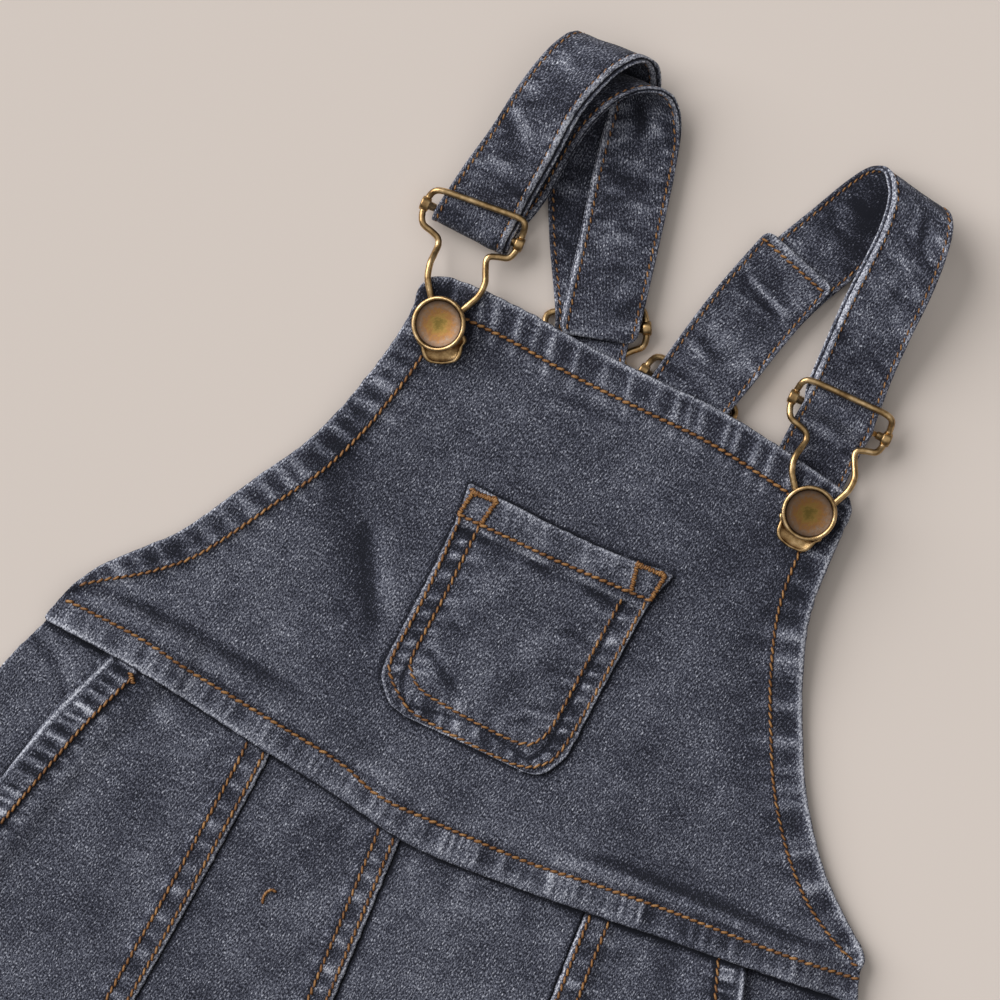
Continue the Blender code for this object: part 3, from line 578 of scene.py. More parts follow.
def mesh_object(name, points, faces, material):
    """A piece from points in millimetres and rows of corner numbers, all of one length in each array."""
    mesh = bpy.data.meshes.new(name)
    loops = np.concatenate([f.ravel() for f in faces]).astype(np.int32)
    sizes = np.concatenate([np.full(len(f), f.shape[1]) for f in faces]).astype(np.int32)
    mesh.vertices.add(len(points))
    mesh.vertices.foreach_set("co", (np.asarray(points, float) * MM).ravel())
    mesh.loops.add(len(loops))
    mesh.loops.foreach_set("vertex_index", loops)
    mesh.polygons.add(len(sizes))
    mesh.polygons.foreach_set("loop_start", np.concatenate([[0], np.cumsum(sizes)[:-1]]).astype(np.int32))
    mesh.polygons.foreach_set("use_smooth", np.ones(len(sizes), bool))
    mesh.update(calc_edges=True)
    mesh.validate()
    piece = bpy.data.objects.new(name, mesh)
    bpy.context.scene.collection.objects.link(piece)
    mesh.materials.append(material)
    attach(piece, "root")
    return piece


def paint(piece, tone, grain):
    """Keeps each point's tone, which on cloth and thread holds wear together with painted light and shade,
    and its place along and across the weave.
    """
    new = piece.data.attributes.new
    new("tone", "FLOAT", "POINT").data.foreach_set("value", np.asarray(tone, np.float32).ravel())
    new("grain", "FLOAT_VECTOR", "POINT").data.foreach_set("vector", np.asarray(grain, np.float32).ravel())


def grid_faces(rows, columns, start=0, flip=False, close=False):
    """Four-sided faces between the points of a grid."""
    i, j = np.meshgrid(np.arange(rows - 1), np.arange(columns if close else columns - 1), indexing="ij")
    a = start + i * columns + j
    b = start + i * columns + (j + 1) % columns
    quads = np.stack([a, b, b + columns, a + columns], -1).reshape(-1, 4)
    return quads[:, ::-1] if flip else quads


def rim_distances(x, y):
    """Distance of each grid point from the grid's left, right, low and high edges."""
    across = np.hypot(np.diff(x, axis=1), np.diff(y, axis=1))
    up = np.hypot(np.diff(x, axis=0), np.diff(y, axis=0))
    zero_column, zero_row = np.zeros((len(x), 1)), np.zeros((1, x.shape[1]))
    left = np.concatenate([zero_column, np.cumsum(across, axis=1)], axis=1)
    low = np.concatenate([zero_row, np.cumsum(up, axis=0)], axis=0)
    return left, left[:, -1:] - left, low, low[-1:] - low


def from_rim(x, y):
    return np.min(rim_distances(x, y), axis=0)


def round_corner(x, y, column, row, radius):
    """Rounds one corner of a grid; column and row are 0 or -1."""
    left, right, low, high = rim_distances(x, y)
    a = radius - (left if column == 0 else right)
    b = radius - (low if row == 0 else high)
    inside = (a > 0) & (b > 0)
    size = np.hypot(a, b) + 1e-9
    share = np.where(inside, np.maximum(a, b) / size - 1.0, 0.0)
    next_column, next_row = (-2 if end else 1 for end in (column, row))
    side = np.array([x[row, column] - x[row, next_column], y[row, column] - y[row, next_column]])
    end = np.array([x[row, column] - x[next_row, column], y[row, column] - y[next_row, column]])
    side, end = side / np.linalg.norm(side), end / np.linalg.norm(end)
    return x + share * (a * side[0] + b * end[0]), y + share * (a * side[1] + b * end[1])


UNDERSIDE_TONE = 0.3  # the hidden side's tone is this share of the face's
UNDERSIDE_APART = (400, 0, 0)  # and its weave is another stretch of the same cloth


def outer_ring(rows, columns):
    """Numbers of a grid's outermost points, in order round it."""
    return np.concatenate(
        [
            np.arange(columns - 1),
            np.arange(rows - 1) * columns + columns - 1,
            (rows - 1) * columns + np.arange(columns - 1, 0, -1),
            np.arange(rows - 1, 0, -1) * columns,
        ]
    )


def cloth(name, x, y, low, top, tone, material, turn=0.0):
    """A wall of cloth over a grid, with round edges. turn is the weave's turn in degrees."""
    rows, columns = x.shape
    middle, half = (low + top) / 2, (top - low) / 2
    rim = from_rim(x, y)
    fray = 0.11 * within(rim, 0.0, 2.5)
    x, y = x + fray * waves(x, y, 4.2, 91), y + fray * waves(x, y, 4.2, 92)
    swell = np.maximum(0.1, np.sqrt(1.0 - (1.0 - np.minimum(rim / half, 1.0)) ** 2))
    points = [np.stack([x, y, z], -1).reshape(-1, 3) for z in (middle - half * swell, middle + half * swell)]
    count = rows * columns
    ring = outer_ring(rows, columns)
    after = np.roll(ring, -1)
    wall = np.stack([ring, after, after + count, ring + count], -1)
    faces = [grid_faces(rows, columns, flip=True), grid_faces(rows, columns, count), wall]
    piece = mesh_object(name, np.concatenate(points), faces, material)
    angle = math.radians(turn)
    u = x * math.cos(angle) + y * math.sin(angle)
    v = -x * math.sin(angle) + y * math.cos(angle)
    grain = np.stack([u, v, np.zeros_like(u)], -1).reshape(-1, 3)
    grain = np.concatenate([grain, grain + UNDERSIDE_APART])
    tone = np.minimum(tone + CLOTH_FADE, 0.3 + 3.0 * rim).ravel()
    paint(piece, np.concatenate([tone * UNDERSIDE_TONE, tone]), grain)
    return piece


# Distances of a grid's outermost rows and columns from its edge, and where its even ones start
EDGE = np.array((0.0, 0.07, 0.2, 0.42, 0.75, 1.2))
EDGE_END = 1.9


def spaced(start, end, step):
    """Even places from start to just before end."""
    return np.linspace(start, end, max(2, round(abs(end - start) / step)), endpoint=False)


def rows_between(start, end, *middle):
    """Rows from start to end, close together by both, with the middle ones given."""
    way = 1 if end > start else -1
    return np.concatenate([start + way * EDGE, *middle, end - way * EDGE[::-1]])[:, None]


def columns_between(first, last, shares):
    """Columns from first to last, close together by both, the middle ones at shares of the way."""
    middle = mix(first + EDGE_END, last - EDGE_END, shares)
    return np.concatenate([first + EDGE, middle, last - EDGE[::-1]], axis=1)


# ---------------------------------------------------------------- materials


class Shader:
    """A material built from nodes in a few words."""

    def __init__(self, name, roughness, metallic=0.0):
        self.material = bpy.data.materials.new(name)
        self.material.use_nodes = True
        self.tree = self.material.node_tree
        self.surface = self.tree.nodes["Principled BSDF"].inputs
        self.surface["Roughness"].default_value = roughness
        self.surface["Metallic"].default_value = metallic

    def node(self, kind, settings=(), **inputs):
        made = self.tree.nodes.new("ShaderNode" + kind)
        for key, value in dict(settings).items():
            setattr(made, key, value)
        for key, value in inputs.items():
            self.put(made.inputs[key.replace("_", " ")], value)
        return made

    def put(self, socket, value):
        if isinstance(value, bpy.types.NodeSocket):
            self.tree.links.new(value, socket)
        else:
            socket.default_value = value

    def math(self, operation, *values):
        made = self.tree.nodes.new("ShaderNodeMath")
        made.operation = operation
        for socket, value in zip(made.inputs, values):
            self.put(socket, value)
        return made.outputs[0]

    def blend(self, mode, share, a, b):
        made = self.node("Mix", {"data_type": "RGBA", "blend_type": mode})
        for k, value in ((0, share), (6, a), (7, b)):
            self.put(made.inputs[k], value)
        return made.outputs[2]

    def attribute(self, name, output):
        return self.node("Attribute", {"attribute_name": name}).outputs[output]

    def noise(self, place, scale, detail=2.0, roughness=0.5):
        made = self.node("TexNoise", Vector=place, Scale=scale, Detail=detail, Roughness=roughness)
        return made.outputs[0]

    def swing(self, value, size):
        """A noise's value about 0, scaled."""
        return self.math("MULTIPLY", self.math("SUBTRACT", value, 0.5), size)

    def ramp(self, value, stops):
        made = self.tree.nodes.new("ShaderNodeValToRGB")
        self.put(made.inputs[0], value)
        points = made.color_ramp.elements
        while len(points) < len(stops):
            points.new(0.5)
        for point, (place, colour) in zip(points, stops):
            point.position = place
            point.color = (*colour, 1.0)
        return made.outputs[0]

    def colour(self, value):
        self.put(self.surface["Base Color"], value)

    def bumps(self, height, strength, distance):
        made = self.node("Bump", Height=height, Strength=strength, Distance=distance)
        self.put(self.surface["Normal"], made.outputs[0])


YARN_ACROSS = 0.36  # from one warp yarn to the next
YARN_ALONG = 0.72
TWILL_PITCH = 1.05
TWILL_TURN = math.radians(76)
DENIM_MEAN = 0.235  # value of plain cloth on the ramp below
DENIM_STOPS = (
    (0.0, (0.0074, 0.0083, 0.0140)),
    (0.28, (0.0365, 0.0390, 0.0580)),
    (0.62, (0.170, 0.179, 0.222)),
    (1.0, (0.59, 0.605, 0.67)),
)
THREAD_STOPS = (
    (0.0, (0.03, 0.011, 0.004)),
    (0.35, (0.17, 0.064, 0.011)),
    (0.65, (0.32, 0.152, 0.042)),
    (1.0, (0.63, 0.38, 0.16)),
)
BRASS_STOPS = ((0.3, (0.20, 0.115, 0.05)), (0.5, (0.47, 0.31, 0.145)), (0.72, (0.80, 0.58, 0.33)))
# Colour of a button's face from its middle outward, and how its rim darkens it
FACE_STOPS = (
    (0.1, (0.36, 0.25, 0.07)),
    (0.32, (0.60, 0.37, 0.11)),
    (0.55, (0.62, 0.30, 0.11)),
    (0.75, (0.53, 0.32, 0.19)),
    (1.0, (0.54, 0.40, 0.31)),
)
RIM_STOPS = ((0.78, (1.0, 1.0, 1.0)), (0.93, (0.62, 0.56, 0.50)), (0.985, (0.09, 0.07, 0.055)))
GROUND_COLOUR = (0.655, 0.584, 0.534, 1.0)


def twill_lines(s, split, wander):
    """The slanted ribs of twill, from -1 to 1."""
    along = s.math("MULTIPLY", split[1], math.cos(TWILL_TURN))
    slope = s.math("SUBTRACT", along, s.math("MULTIPLY", split[0], math.sin(TWILL_TURN)))
    return s.math("SINE", s.math("MULTIPLY", s.math("ADD", slope, wander), 2 * math.pi / TWILL_PITCH))


def denim_material():
    """Washed twill: pale specks of weft between dark warp yarns; paler where tone is high and darker where
    it is low, the tone holding wear together with painted light and shade.
    """
    s = Shader("denim_twill", 0.9)
    s.surface["Sheen Weight"].default_value = 0.06
    s.surface["Sheen Roughness"].default_value = 0.5
    s.surface["Specular IOR Level"].default_value = 0.2
    grain = s.attribute("grain", "Vector")
    tone = s.attribute("tone", "Fac")
    split = s.node("SeparateXYZ", Vector=grain).outputs
    wander = s.swing(s.noise(grain, 0.35, 3.0), 1.1)
    across = s.math("DIVIDE", s.math("ADD", split[0], wander), YARN_ACROSS)
    along = s.math("DIVIDE", s.math("ADD", split[1], wander), YARN_ALONG)
    cell = s.node("CombineXYZ", X=s.math("FLOOR", across), Y=s.math("FLOOR", along)).outputs[0]
    chance = s.node("TexWhiteNoise", {"noise_dimensions": "2D"}, Vector=cell).outputs[0]
    specks = s.noise(s.node("CombineXYZ", X=across, Y=along).outputs[0], 0.95, 2.0, 0.7)
    twill = twill_lines(s, split, wander)
    value = DENIM_MEAN
    for part in (
        s.swing(specks, 2.55),
        s.math("MULTIPLY", s.math("POWER", chance, 6.0), 0.30),
        s.math("MULTIPLY", twill, 0.08),
        s.swing(s.noise(grain, 0.34, 3.0, 0.6), 0.26),
        s.swing(s.noise(grain, 0.06, 2.0, 0.6), 0.30),
        s.math("MULTIPLY", tone, 0.26),
    ):
        value = s.math("ADD", value, part)
    s.colour(s.ramp(value, DENIM_STOPS))
    s.bumps(s.math("ADD", specks, s.math("MULTIPLY", twill, 0.05)), 0.6, 0.00025)
    return s.material


def thread_material():
    """Orange topstitching thread, with painted shade where it goes into the cloth and a painted highlight
    along its middle.
    """
    s = Shader("topstitch_thread", 0.55)
    strands = s.noise(s.attribute("grain", "Vector"), 2.2, 2.0, 0.7)
    value = s.math("ADD", s.math("MULTIPLY", s.attribute("tone", "Fac"), 0.62), s.swing(strands, 1.3))
    s.colour(s.ramp(value, THREAD_STOPS))
    s.bumps(strands, 0.5, 0.0002)
    return s.material


def brass_material():
    """Antique brass: bright where it is rubbed, brown in patches."""
    s = Shader("antique_brass", 0.26, 1.0)
    place = s.node("TexCoord").outputs["Object"]
    s.colour(s.ramp(s.noise(place, 260.0, 4.0, 0.65), BRASS_STOPS))
    s.put(s.surface["Roughness"], s.math("ADD", 0.23, s.math("MULTIPLY", s.noise(place, 260.0), 0.16)))
    s.bumps(s.noise(place, 900.0, 3.0), 0.02, 0.0001)
    return s.material


def face_material(name, shade):
    """Aged dish of a button: olive middle, copper ring, black line by the rim."""
    s = Shader(name, 0.46, 1.0)
    tone = s.attribute("tone", "Fac")
    place = s.node("TexCoord").outputs["Object"]
    stain = s.swing(s.noise(place, 800.0, 5.0, 0.8), 1.2)
    stops = [(place, tuple(c * shade for c in colour)) for place, colour in FACE_STOPS]
    worn = s.ramp(s.math("ADD", tone, stain), stops)
    s.colour(s.blend("MULTIPLY", 1.0, worn, s.ramp(tone, RIM_STOPS)))
    s.bumps(s.noise(place, 620.0, 4.0), 0.3, 0.0002)
    return s.material


def floor_material():
    s = Shader("plain_ground", 0.95)
    s.surface["Base Color"].default_value = GROUND_COLOUR
    s.surface["Specular IOR Level"].default_value = 0.0
    return s.material


denim = denim_material()
thread = thread_material()
brass = brass_material()
# The same face twice, the front left button's paler and the other buttons' darker
button_faces = {"front_left": face_material("button_face_paler", 0.37)}
darker_face = face_material("button_face_darker", 0.31)

# ---------------------------------------------------------------- bib and pocket


def bib_y(x, nominal):
    v = nominal / BIB_HEIGHT
    return nominal + lip_y(x) * (1 - v) ** 2 + (read(BIB_TOP, x) - BIB_HEIGHT) * v**3


def bib_edge(side, start=0.0, end=BIB_HEIGHT):
    """The bib's side as a line with the cloth on its left."""
    heights = np.linspace(start, end, 40)
    x = read(BIB_SIDES, heights, 1 if side < 0 else 2)
    points = np.stack([x, bib_y(x, heights)], 1)
    return Line(points[::-1] if side < 0 else points, step=0)


def top_edge():
    x = np.linspace(78.6, -78.0, 60)
    return Line(np.stack([x, read(BIB_TOP, x)], 1), step=0)


def lip_edge():
    x = np.linspace(-142.5, 149.5, 90)
    return Line(np.stack([x, lip_y(x)], 1), step=0)


# Clusters of close ribs in the waist's fold: first, last, pitch, along the fold
LIP_RIBS = ((99, 112, 2.7), (150, 163, 2.8), (212, 220, 2.9))
SIDE_TOP = 14.0  # the armhole hem starts this high on the side
ARMHOLE = {side: bib_edge(side, SIDE_TOP) for side in (-1, 1)}
TOP_LINE, LIP_LINE = top_edge(), lip_edge()
LEFT_END, RIGHT_END = ARMHOLE[-1].length, ARMHOLE[1].length
# Width of the armhole hem: place along the edge, width
ARMHOLE_HEM = {
    -1: ((0.0, 10.5), (90.0, 10.4), (LEFT_END - 26.0, 8.4), (LEFT_END - 9.0, 4.4), (LEFT_END, 0.6)),
    1: ((0.0, 3.8), (9.0, 6.6), (26.0, 9.2), (RIGHT_END - 90.0, 10.4), (RIGHT_END, 10.5)),
}
ARMHOLE_RIBS = {-1: Puckers(10, 220, 7.2, 0.25), 1: Puckers(12, 220, 7.8, 0.55)}
# How dark the hollows of each armhole hem are, partly painted shade
ARMHOLE_DARK = {-1: 1.35, 1: 0.75}
ARMHOLE_END = (145.2, 10.6)  # the right hem's stitches run out over the side here
# Worn lines along the bib's edges, and near the top edge a line of painted shade just inside its rolled
# edge: tone, distance from the edge, width
ARMHOLE_WEAR = {-1: ((0.4, 0, 1),), 1: ((1.7, 0.9, 1),)}
TOP_WEAR_AND_SHADE = ((1.0, 0.8, 0.8), (-0.5, 2.5, 0.8), (0.3, HEM_WIDTH + 3.0, 2.0))
LIP_WEAR = ((0.3, 14.5, 3), (0.12, 4, 4), (0.45, 1.6, 1.8))
LIP_WEAR_LEFT = ((1.2, 0.7, 0.8),)
BIB_SIDE_ZONE = 20.0  # width of the closely spaced columns by each side
BIB_CORNERS = ((0, -1, 4), (-1, -1, 6.5), (0, 0, 2), (-1, 0, 2))  # column, row, radius


def bib_grid():
    """Plan of the bib."""
    by_waist, middle, by_top = spaced(1.9, 15.0, 0.8), spaced(15.0, 136.0, 1.25), spaced(136.0, 148.2, 0.85)
    nominal = rows_between(0.0, BIB_HEIGHT, by_waist, middle, by_top)
    left, right = read(BIB_SIDES, nominal, 1), read(BIB_SIDES, nominal, 2)
    side = np.concatenate([EDGE, spaced(2.0, BIB_SIDE_ZONE, 0.9)])
    inner = mix(left + BIB_SIDE_ZONE, right - BIB_SIDE_ZONE, spaced(0.0, 1.0, 1 / 200))
    x = np.concatenate([left + side, inner, right - BIB_SIDE_ZONE, right - side[::-1]], axis=1)
    y = bib_y(x, nominal)
    for column, row, radius in BIB_CORNERS:
        x, y = round_corner(x, y, column, row, radius)
    return x, y


def armhole_hem(face, side):
    along, away = ARMHOLE[side].near(face.x, face.y)
    width = read(ARMHOLE_HEM[side], along)
    scaled = away * (HEM_WIDTH / np.maximum(width, 3.0))
    look = dict(skew=-0.1 * side, ridge=1.6, depth=0.5, inner=9.0, dark=ARMHOLE_DARK[side])
    face.band(seam_band(along, scaled, HEM_WIDTH, ARMHOLE_RIBS[side], **look), within(away, 20.0, 4.0), 1.1)
    face.tone += stripes(away, ARMHOLE_WEAR[side])
    face.thicken(within(away, width + 0.4, 1.6))


def bib_top_hem(face):
    along, away = TOP_LINE.near(face.x, face.y)
    ribs = Puckers(21, 170.0, 7.0, 0.5)
    band = seam_band(along, away, HEM_WIDTH, ribs, skew=0.25, ridge=1.3, depth=0.3, inner=7.0)
    face.band(band, within(away, 20.0, 4.0))
    face.tone += stripes(away, TOP_WEAR_AND_SHADE)
    face.thicken(within(away, HEM_WIDTH + 0.4, 1.6))


def bib_waist_fold(face):
    x, y = face.x, face.y
    along, away = LIP_LINE.near(x, y)
    ribs = Puckers(31, 310.0, 4.6, 0.6, LIP_RIBS)
    band = seam_band(along, away, 10.2, ribs, ridge=1.0, depth=0.26, inner=4.0, edge=False)
    face.band(band, within(away, 16.0, 4.0), 0.7 + 0.35 * waves(x, y, 26.0, 33))
    face.tone += stripes(away, LIP_WEAR) + stripes(away, LIP_WEAR_LEFT) * ramp((-40.0 - x) / 50.0)


def make_bib():
    x, y = bib_grid()
    face = Face(x, y, uneven(x, y, (0.12, 46.0, 3)), uneven(x, y, (0.12, 30.0, 4), (0.08, 9.0, 5)))
    for px, py in BUTTON_SHADES:
        face.tone -= 1.4 * within(np.hypot(x - px, y - py), 8.0, 3.5)
    face.tone += patches(x, y, BIB_PATCHES)
    armhole_hem(face, -1)
    armhole_hem(face, 1)
    bib_top_hem(face)
    bib_waist_fold(face)
    face.troughs(TROUGHS, 1.0, 0.25)
    past_pocket = -Line(pocket_outline(), step=0).near(x, y)[1]
    face.tone += shade_line(past_pocket) * ((past_pocket > -0.4) & (past_pocket < 12.0))
    low = bib_under(x, y)
    top = low + DENIM + HEM * face.hem + face.relief
    piece = cloth("bib_cloth", x, y, low, top, face.tone, denim)
    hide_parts("bib")
    return piece


POCKET_WIDTH = 68.0
POCKET_FOOT = 22.0


def pocket_grid():
    """Plan of the chest pocket, and each point's share of the way across."""
    edge = EDGE / POCKET_WIDTH
    across = np.concatenate([edge, spaced(0.028, 0.972, 1 / 78), 1.0 - edge[::-1]])
    y = rows_between(POCKET_FOOT, POCKET_TOP, spaced(23.6, 97.9, 0.85)) + np.zeros(len(across))
    x = mix(read(POCKET_SIDES, y, 1), read(POCKET_SIDES, y, 2), across)
    sag = 1.3 * bump((x - 2.0) / 26.0) * ramp((y - 60.0) / 39.0)
    y = y - sag + 0.9 * ramp((x - 20.0) / 14.0) * ramp((y - 80.0) / 19.0)
    y = y - 2.2 * ramp((x - 14.0) / 26.0) * ramp((30.0 - y) / 8.0)
    x, y = round_corner(x, y, 0, -1, 1.4)
    x, y = round_corner(x, y, -1, -1, 1.8)
    return x, y, across + np.zeros(x.shape)


def side_points(*sides):
    """Every fourth point of some sides of a grid."""
    return np.concatenate([np.stack(side, 1)[::4] for side in sides])


def pocket_outline():
    """Edge of the chest pocket all round, with the cloth on its left."""
    x, y, _ = pocket_grid()
    foot, right = (x[0], y[0]), (x[:, -1], y[:, -1])
    mouth, left = (x[-1, ::-1], y[-1, ::-1]), (x[::-1, 0], y[::-1, 0])
    return np.concatenate([side_points(foot, right, mouth, left), [(x[0, 0], y[0, 0])]])


def pocket_seam(face):
    """The stitched edge along the pocket's sides and foot."""
    x, y = face.x, face.y
    from_edge = np.min(rim_distances(x, y)[:3], axis=0)
    edge = Line(side_points((x[::-1, 0], y[::-1, 0]), (x[0], y[0]), (x[:, -1], y[:, -1])), step=0)
    along, _ = edge.near(x, y)
    look = dict(skew=0.3, ridge=1.3, depth=0.5, inner=9.0, edge=False)
    band = seam_band(along, from_edge - 1.2, 6.0, Puckers(41, 330.0, 6.2, 0.35), **look)
    fade = 1.0 - 0.9 * face.hem
    face.band(band, fade, 1.4)
    face.relief -= 0.2 * bump((from_edge - 1.9) / 0.6) * fade
    # Tone: a pale worn edge, and painted shade in the groove of the outer stitches
    face.tone += (1.6 - 0.6 * face.hem) * bump(from_rim(x, y) / 1.15) - 0.6 * bump((from_edge - 2.1) / 0.6)


def pocket_mouth(face):
    """The turned hem along the pocket's mouth, with the cloth pinched under it, and painted shade in the
    pinch and along the stitches.
    """
    x, y = face.x, face.y
    from_hem = y - (POCKET_TOP - POCKET_HEM)
    pinch = bump((from_hem + 5.0) / 1.5) * (1 - face.hem)
    lip = bump((from_hem + 2.9) / 0.7)
    stitch = bump((y - 88.6) / 0.8)
    ribs = Puckers(43, 90.0, 6.0, 0.5).at(x + 0.2 * y, 1.1) * ramp((y - 91.0) / 3.0)
    broken = 0.8 + 0.5 * waves(x, y, 13.0, 12)
    # Tone: a pale line on the hem's fold, painted shade in the pinch below it and along the stitches, and
    # pale ribs
    face.tone += 1.2 * broken * (lip - pinch) + face.hem * (0.08 + 0.2 * waves(x, y, 11.0, 10))
    face.tone += 0.9 * ribs - 0.7 * stitch
    face.relief += 0.15 * ribs - 0.35 * pinch - 0.25 * stitch


def make_pocket():
    x, y, u = pocket_grid()
    face = Face(x, y, uneven(x, y, (0.10, 24.0, 8)), uneven(x, y, (0.3, 16.0, 9)))
    face.hem = ramp((y - (POCKET_TOP - POCKET_HEM - 3.4)) / 0.7)
    pocket_seam(face)
    pocket_mouth(face)
    face.troughs(POCKET_TROUGHS, 1.5, 0.6)
    face.tone += patches(x, y, POCKET_PATCHES)
    puff = POCKET_PUFF * ramp(np.minimum(u, 1 - u) / 0.3) * ramp((y - 24) / 16.0)
    low = bib_under(x, y) + DENIM + 0.35 + puff
    top = low + DENIM - 0.3 + 0.9 * face.hem + face.relief
    piece = cloth("chest_pocket_cloth", x, y, low, top, face.tone, denim, turn=-3.0)
    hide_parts("chest_pocket")
    return piece


# ---------------------------------------------------------------- trousers

FINE_END = -132.0  # rows are close together down to here, where the photo ends
HIP_TOP, HIP_FOOT = 9, -116.0
BACK_BIB_TOP = 136.0
LEG_HEM = 14.5  # from the foot to its stitches
# A worn line beside the lap of a seam, and a line of painted shade in the groove of its stitches: tone,
# distance from the lap's edge, width
LAP_WEAR_AND_SHADE = ((1.6, 0.45, 0.62), (-0.6, 2, 0.6))
LAP_FADE = ((0.3, 4.6, 2.6),)


def front_rows():
    """Rows of a front panel, closest where the bib's lip shades it."""
    lip = -WAIST_LAP
    rows = rows_between(
        0.0,
        HEM_Y,
        spaced(-EDGE_END, lip + 0.4, 1.15),
        spaced(lip + 0.4, lip - 3.2, 0.4),
        spaced(lip - 3.2, FINE_END, 1.15),
        spaced(FINE_END, HEM_Y + 20.0, 3.6),
        spaced(HEM_Y + 20.0, HEM_Y + 1.4, 1.2),
    )
    return rows[1:]


def front_edges(nominal, side, part):
    """How far from the middle a front panel starts and ends."""
    seam = read(LEG_ROWS, nominal, 3)
    if part == "side":
        mouth = np.where(nominal > MOUTH_END_Y, mouth_x(nominal, side), 999.0)
        return seam + GAP / 2, np.minimum(np.abs(side_x(nominal, side)), mouth)
    inner = np.where(nominal < CROTCH_Y - 1, read(LEG_ROWS, nominal, 4), side * centre_x(nominal))
    return inner + GAP / 2, seam - GAP / 2


def leg_hem(face, side, seed):
    from_foot = face.y - HEM_Y
    face.hem = 1.0 - ramp((from_foot - 14.0) / 2.0)
    ribs = Puckers(seed, 220.0, 7.0)
    band = seam_band(side * face.x, from_foot, LEG_HEM, ribs, skew=0.2, ridge=1.4, depth=0.45)
    face.band(band, within(from_foot, 24.0, 4.0))


def lapped_seam(face, inside, on, seed):
    """The stitched lap beside a seam, at distances inside its edge; on is 0 where the seam ends."""
    ribs = Puckers(seed, 620.0, 7.6, 0.35)
    height, tone = seam_band(-face.y, inside - 1.4, SEAM_BAND - 2.2, ribs, ridge=1.3, inner=5.0, edge=False)
    groove = 0.2 * bump((inside - 2.0) / 0.6)
    face.band((height - groove, tone + stripes(inside, LAP_WEAR_AND_SHADE)), within(inside, 16.0, 3.0) * on)
    face.tone += stripes(inside, LAP_FADE) * on
    face.thicken(within(inside, SEAM_BAND + 0.3, 1.4) * on)


def mouth_hem(face, side, seed):
    """The hem of a slanted pocket's mouth."""
    along, off = mouth_line(side).near(face.x, face.y)
    off = np.abs(off)
    on = face.y > MOUTH_END_Y
    ribs = Puckers(seed, 190.0, 4.4, 0.4)
    band = seam_band(along, off, MOUTH_HEM[side], ribs, skew=0.2, ridge=1.15, depth=0.5, inner=5.0, dark=0.7)
    face.band(band, within(off, 16.0, 3.0) * on, 2.5)
    face.thicken(0.75 * within(off, MOUTH_HEM[side] + 0.4, 1.6) * on)


def lip_shade(face, seed):
    """Shade and unevenness below the bib's lip."""
    x, y = face.x, face.y
    below = lip_y(x) - y
    right = ramp((x - 20.0) / 40.0)
    shade = shade_line(below, 1.2 + 0.5 * right, 0.9 + 0.6 * right)
    face.tone += shade * (0.85 + 0.3 * waves(x, y, 13.0, 57))
    face.tone += 0.35 * waves(x, y, 12.0, seed) * bump((below - 8.0) / 6.0)


def front_panel(name, side, part, seed):
    """A front panel; part is "side" or "centre"."""
    nominal = front_rows()
    first, last = front_edges(nominal, side, part)
    share = np.linspace(0, 1, 66 if part == "side" else 44)
    away = columns_between(first, last, share - 0.085 * np.sin(2 * math.pi * share))
    x = side * away
    y = waist_y(x, nominal)
    tone = uneven(x, y, (0.15, 34.0, seed + 2), (0.10, 10.0, seed + 3))
    face = Face(x, y, uneven(x, y, (0.16, 42.0, seed), (0.05, 13.0, seed + 1)), tone)
    leg_hem(face, side, seed + 4)
    if part == "side":
        low = side_under(x, y)
        lapped_seam(face, away - first, 1.0, seed + 5)
        mouth_hem(face, side, seed + 6)
    else:
        low = centre_under(x, y)
        above_crotch = y - CROTCH_Y
        if side < 0:
            lapped_seam(face, away - first, ramp((above_crotch - 2.0) / 4.0), seed + 5)
        else:
            face.tone += shade_line(away - first, 1.3) * ramp(above_crotch / 4.0)
        face.tone += shade_line(last - away, 0.8)
    face.tone += patches(x, y, FRONT_PATCHES)
    lip_shade(face, seed + 8)
    top = low + DENIM - 0.2 + HEM * face.hem + face.relief
    piece = cloth(name, x, y, low, top, face.tone, denim, turn=side * 1.5)
    return piece


def make_hip(name, node, side):
    nominal = rows_between(HIP_TOP, HIP_FOOT, spaced(7.1, -114.6, 1.3))
    outer, inner = np.abs(side_x(nominal, side)), mouth_x(nominal, side) - MOUTH_LAP
    away = columns_between(inner, outer, np.linspace(0, 1, 34))
    x = side * away
    y = np.where(nominal > 0, waist_y(outer * side, nominal - WAIST_LAP), nominal) + 0.0 * x
    tone = 0.15 + uneven(x, y, (0.12, 30.0, 61 + side)) + 0.5 * bump((outer - away) / 0.9)
    _, off = Line([(side * 143.0, -4.0), (side * 133.0, -9.0), (side * 124.0, -18.0)]).near(x, y)
    tone = tone + stripes(off, ((0.4, 2.2, 2.0), (-0.6, -1.6, 1.8)))
    tone = tone + shade_line(away - mouth_x(y, side)) + shade_line(lip_y(x) - y - 0.6, 1.3, 0.9)
    low = DENIM + GAP + 0.0 * x
    top = low + DENIM + uneven(x, y, (0.10, 26.0, 63 + side))
    piece = cloth(name, x, y, low, top, tone, denim, turn=side * 4.0)
    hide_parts(node)
    return piece


def make_back_leg(name, node, side):
    nominal = rows_between(BACK_WAIST_Y, HEM_Y, spaced(-10.0, -588.0, 3.8))
    inner, outer = np.maximum(read(LEG_ROWS, nominal, 4), GAP / 2), np.abs(side_x(nominal, side))
    away = columns_between(inner, outer, np.linspace(0, 1, 44))
    x = side * away
    y = nominal + 0.0 * x
    tone = uneven(x, y, (0.12, 34.0, 71 + side), (0.06, 11.0, 73 + side)) + 0.6 * bump((away - inner) / 0.9)
    low = 0.0 * x
    piece = cloth(name, x, y, low, low + DENIM, tone, denim, turn=side * 1.0)
    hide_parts(node)
    return piece


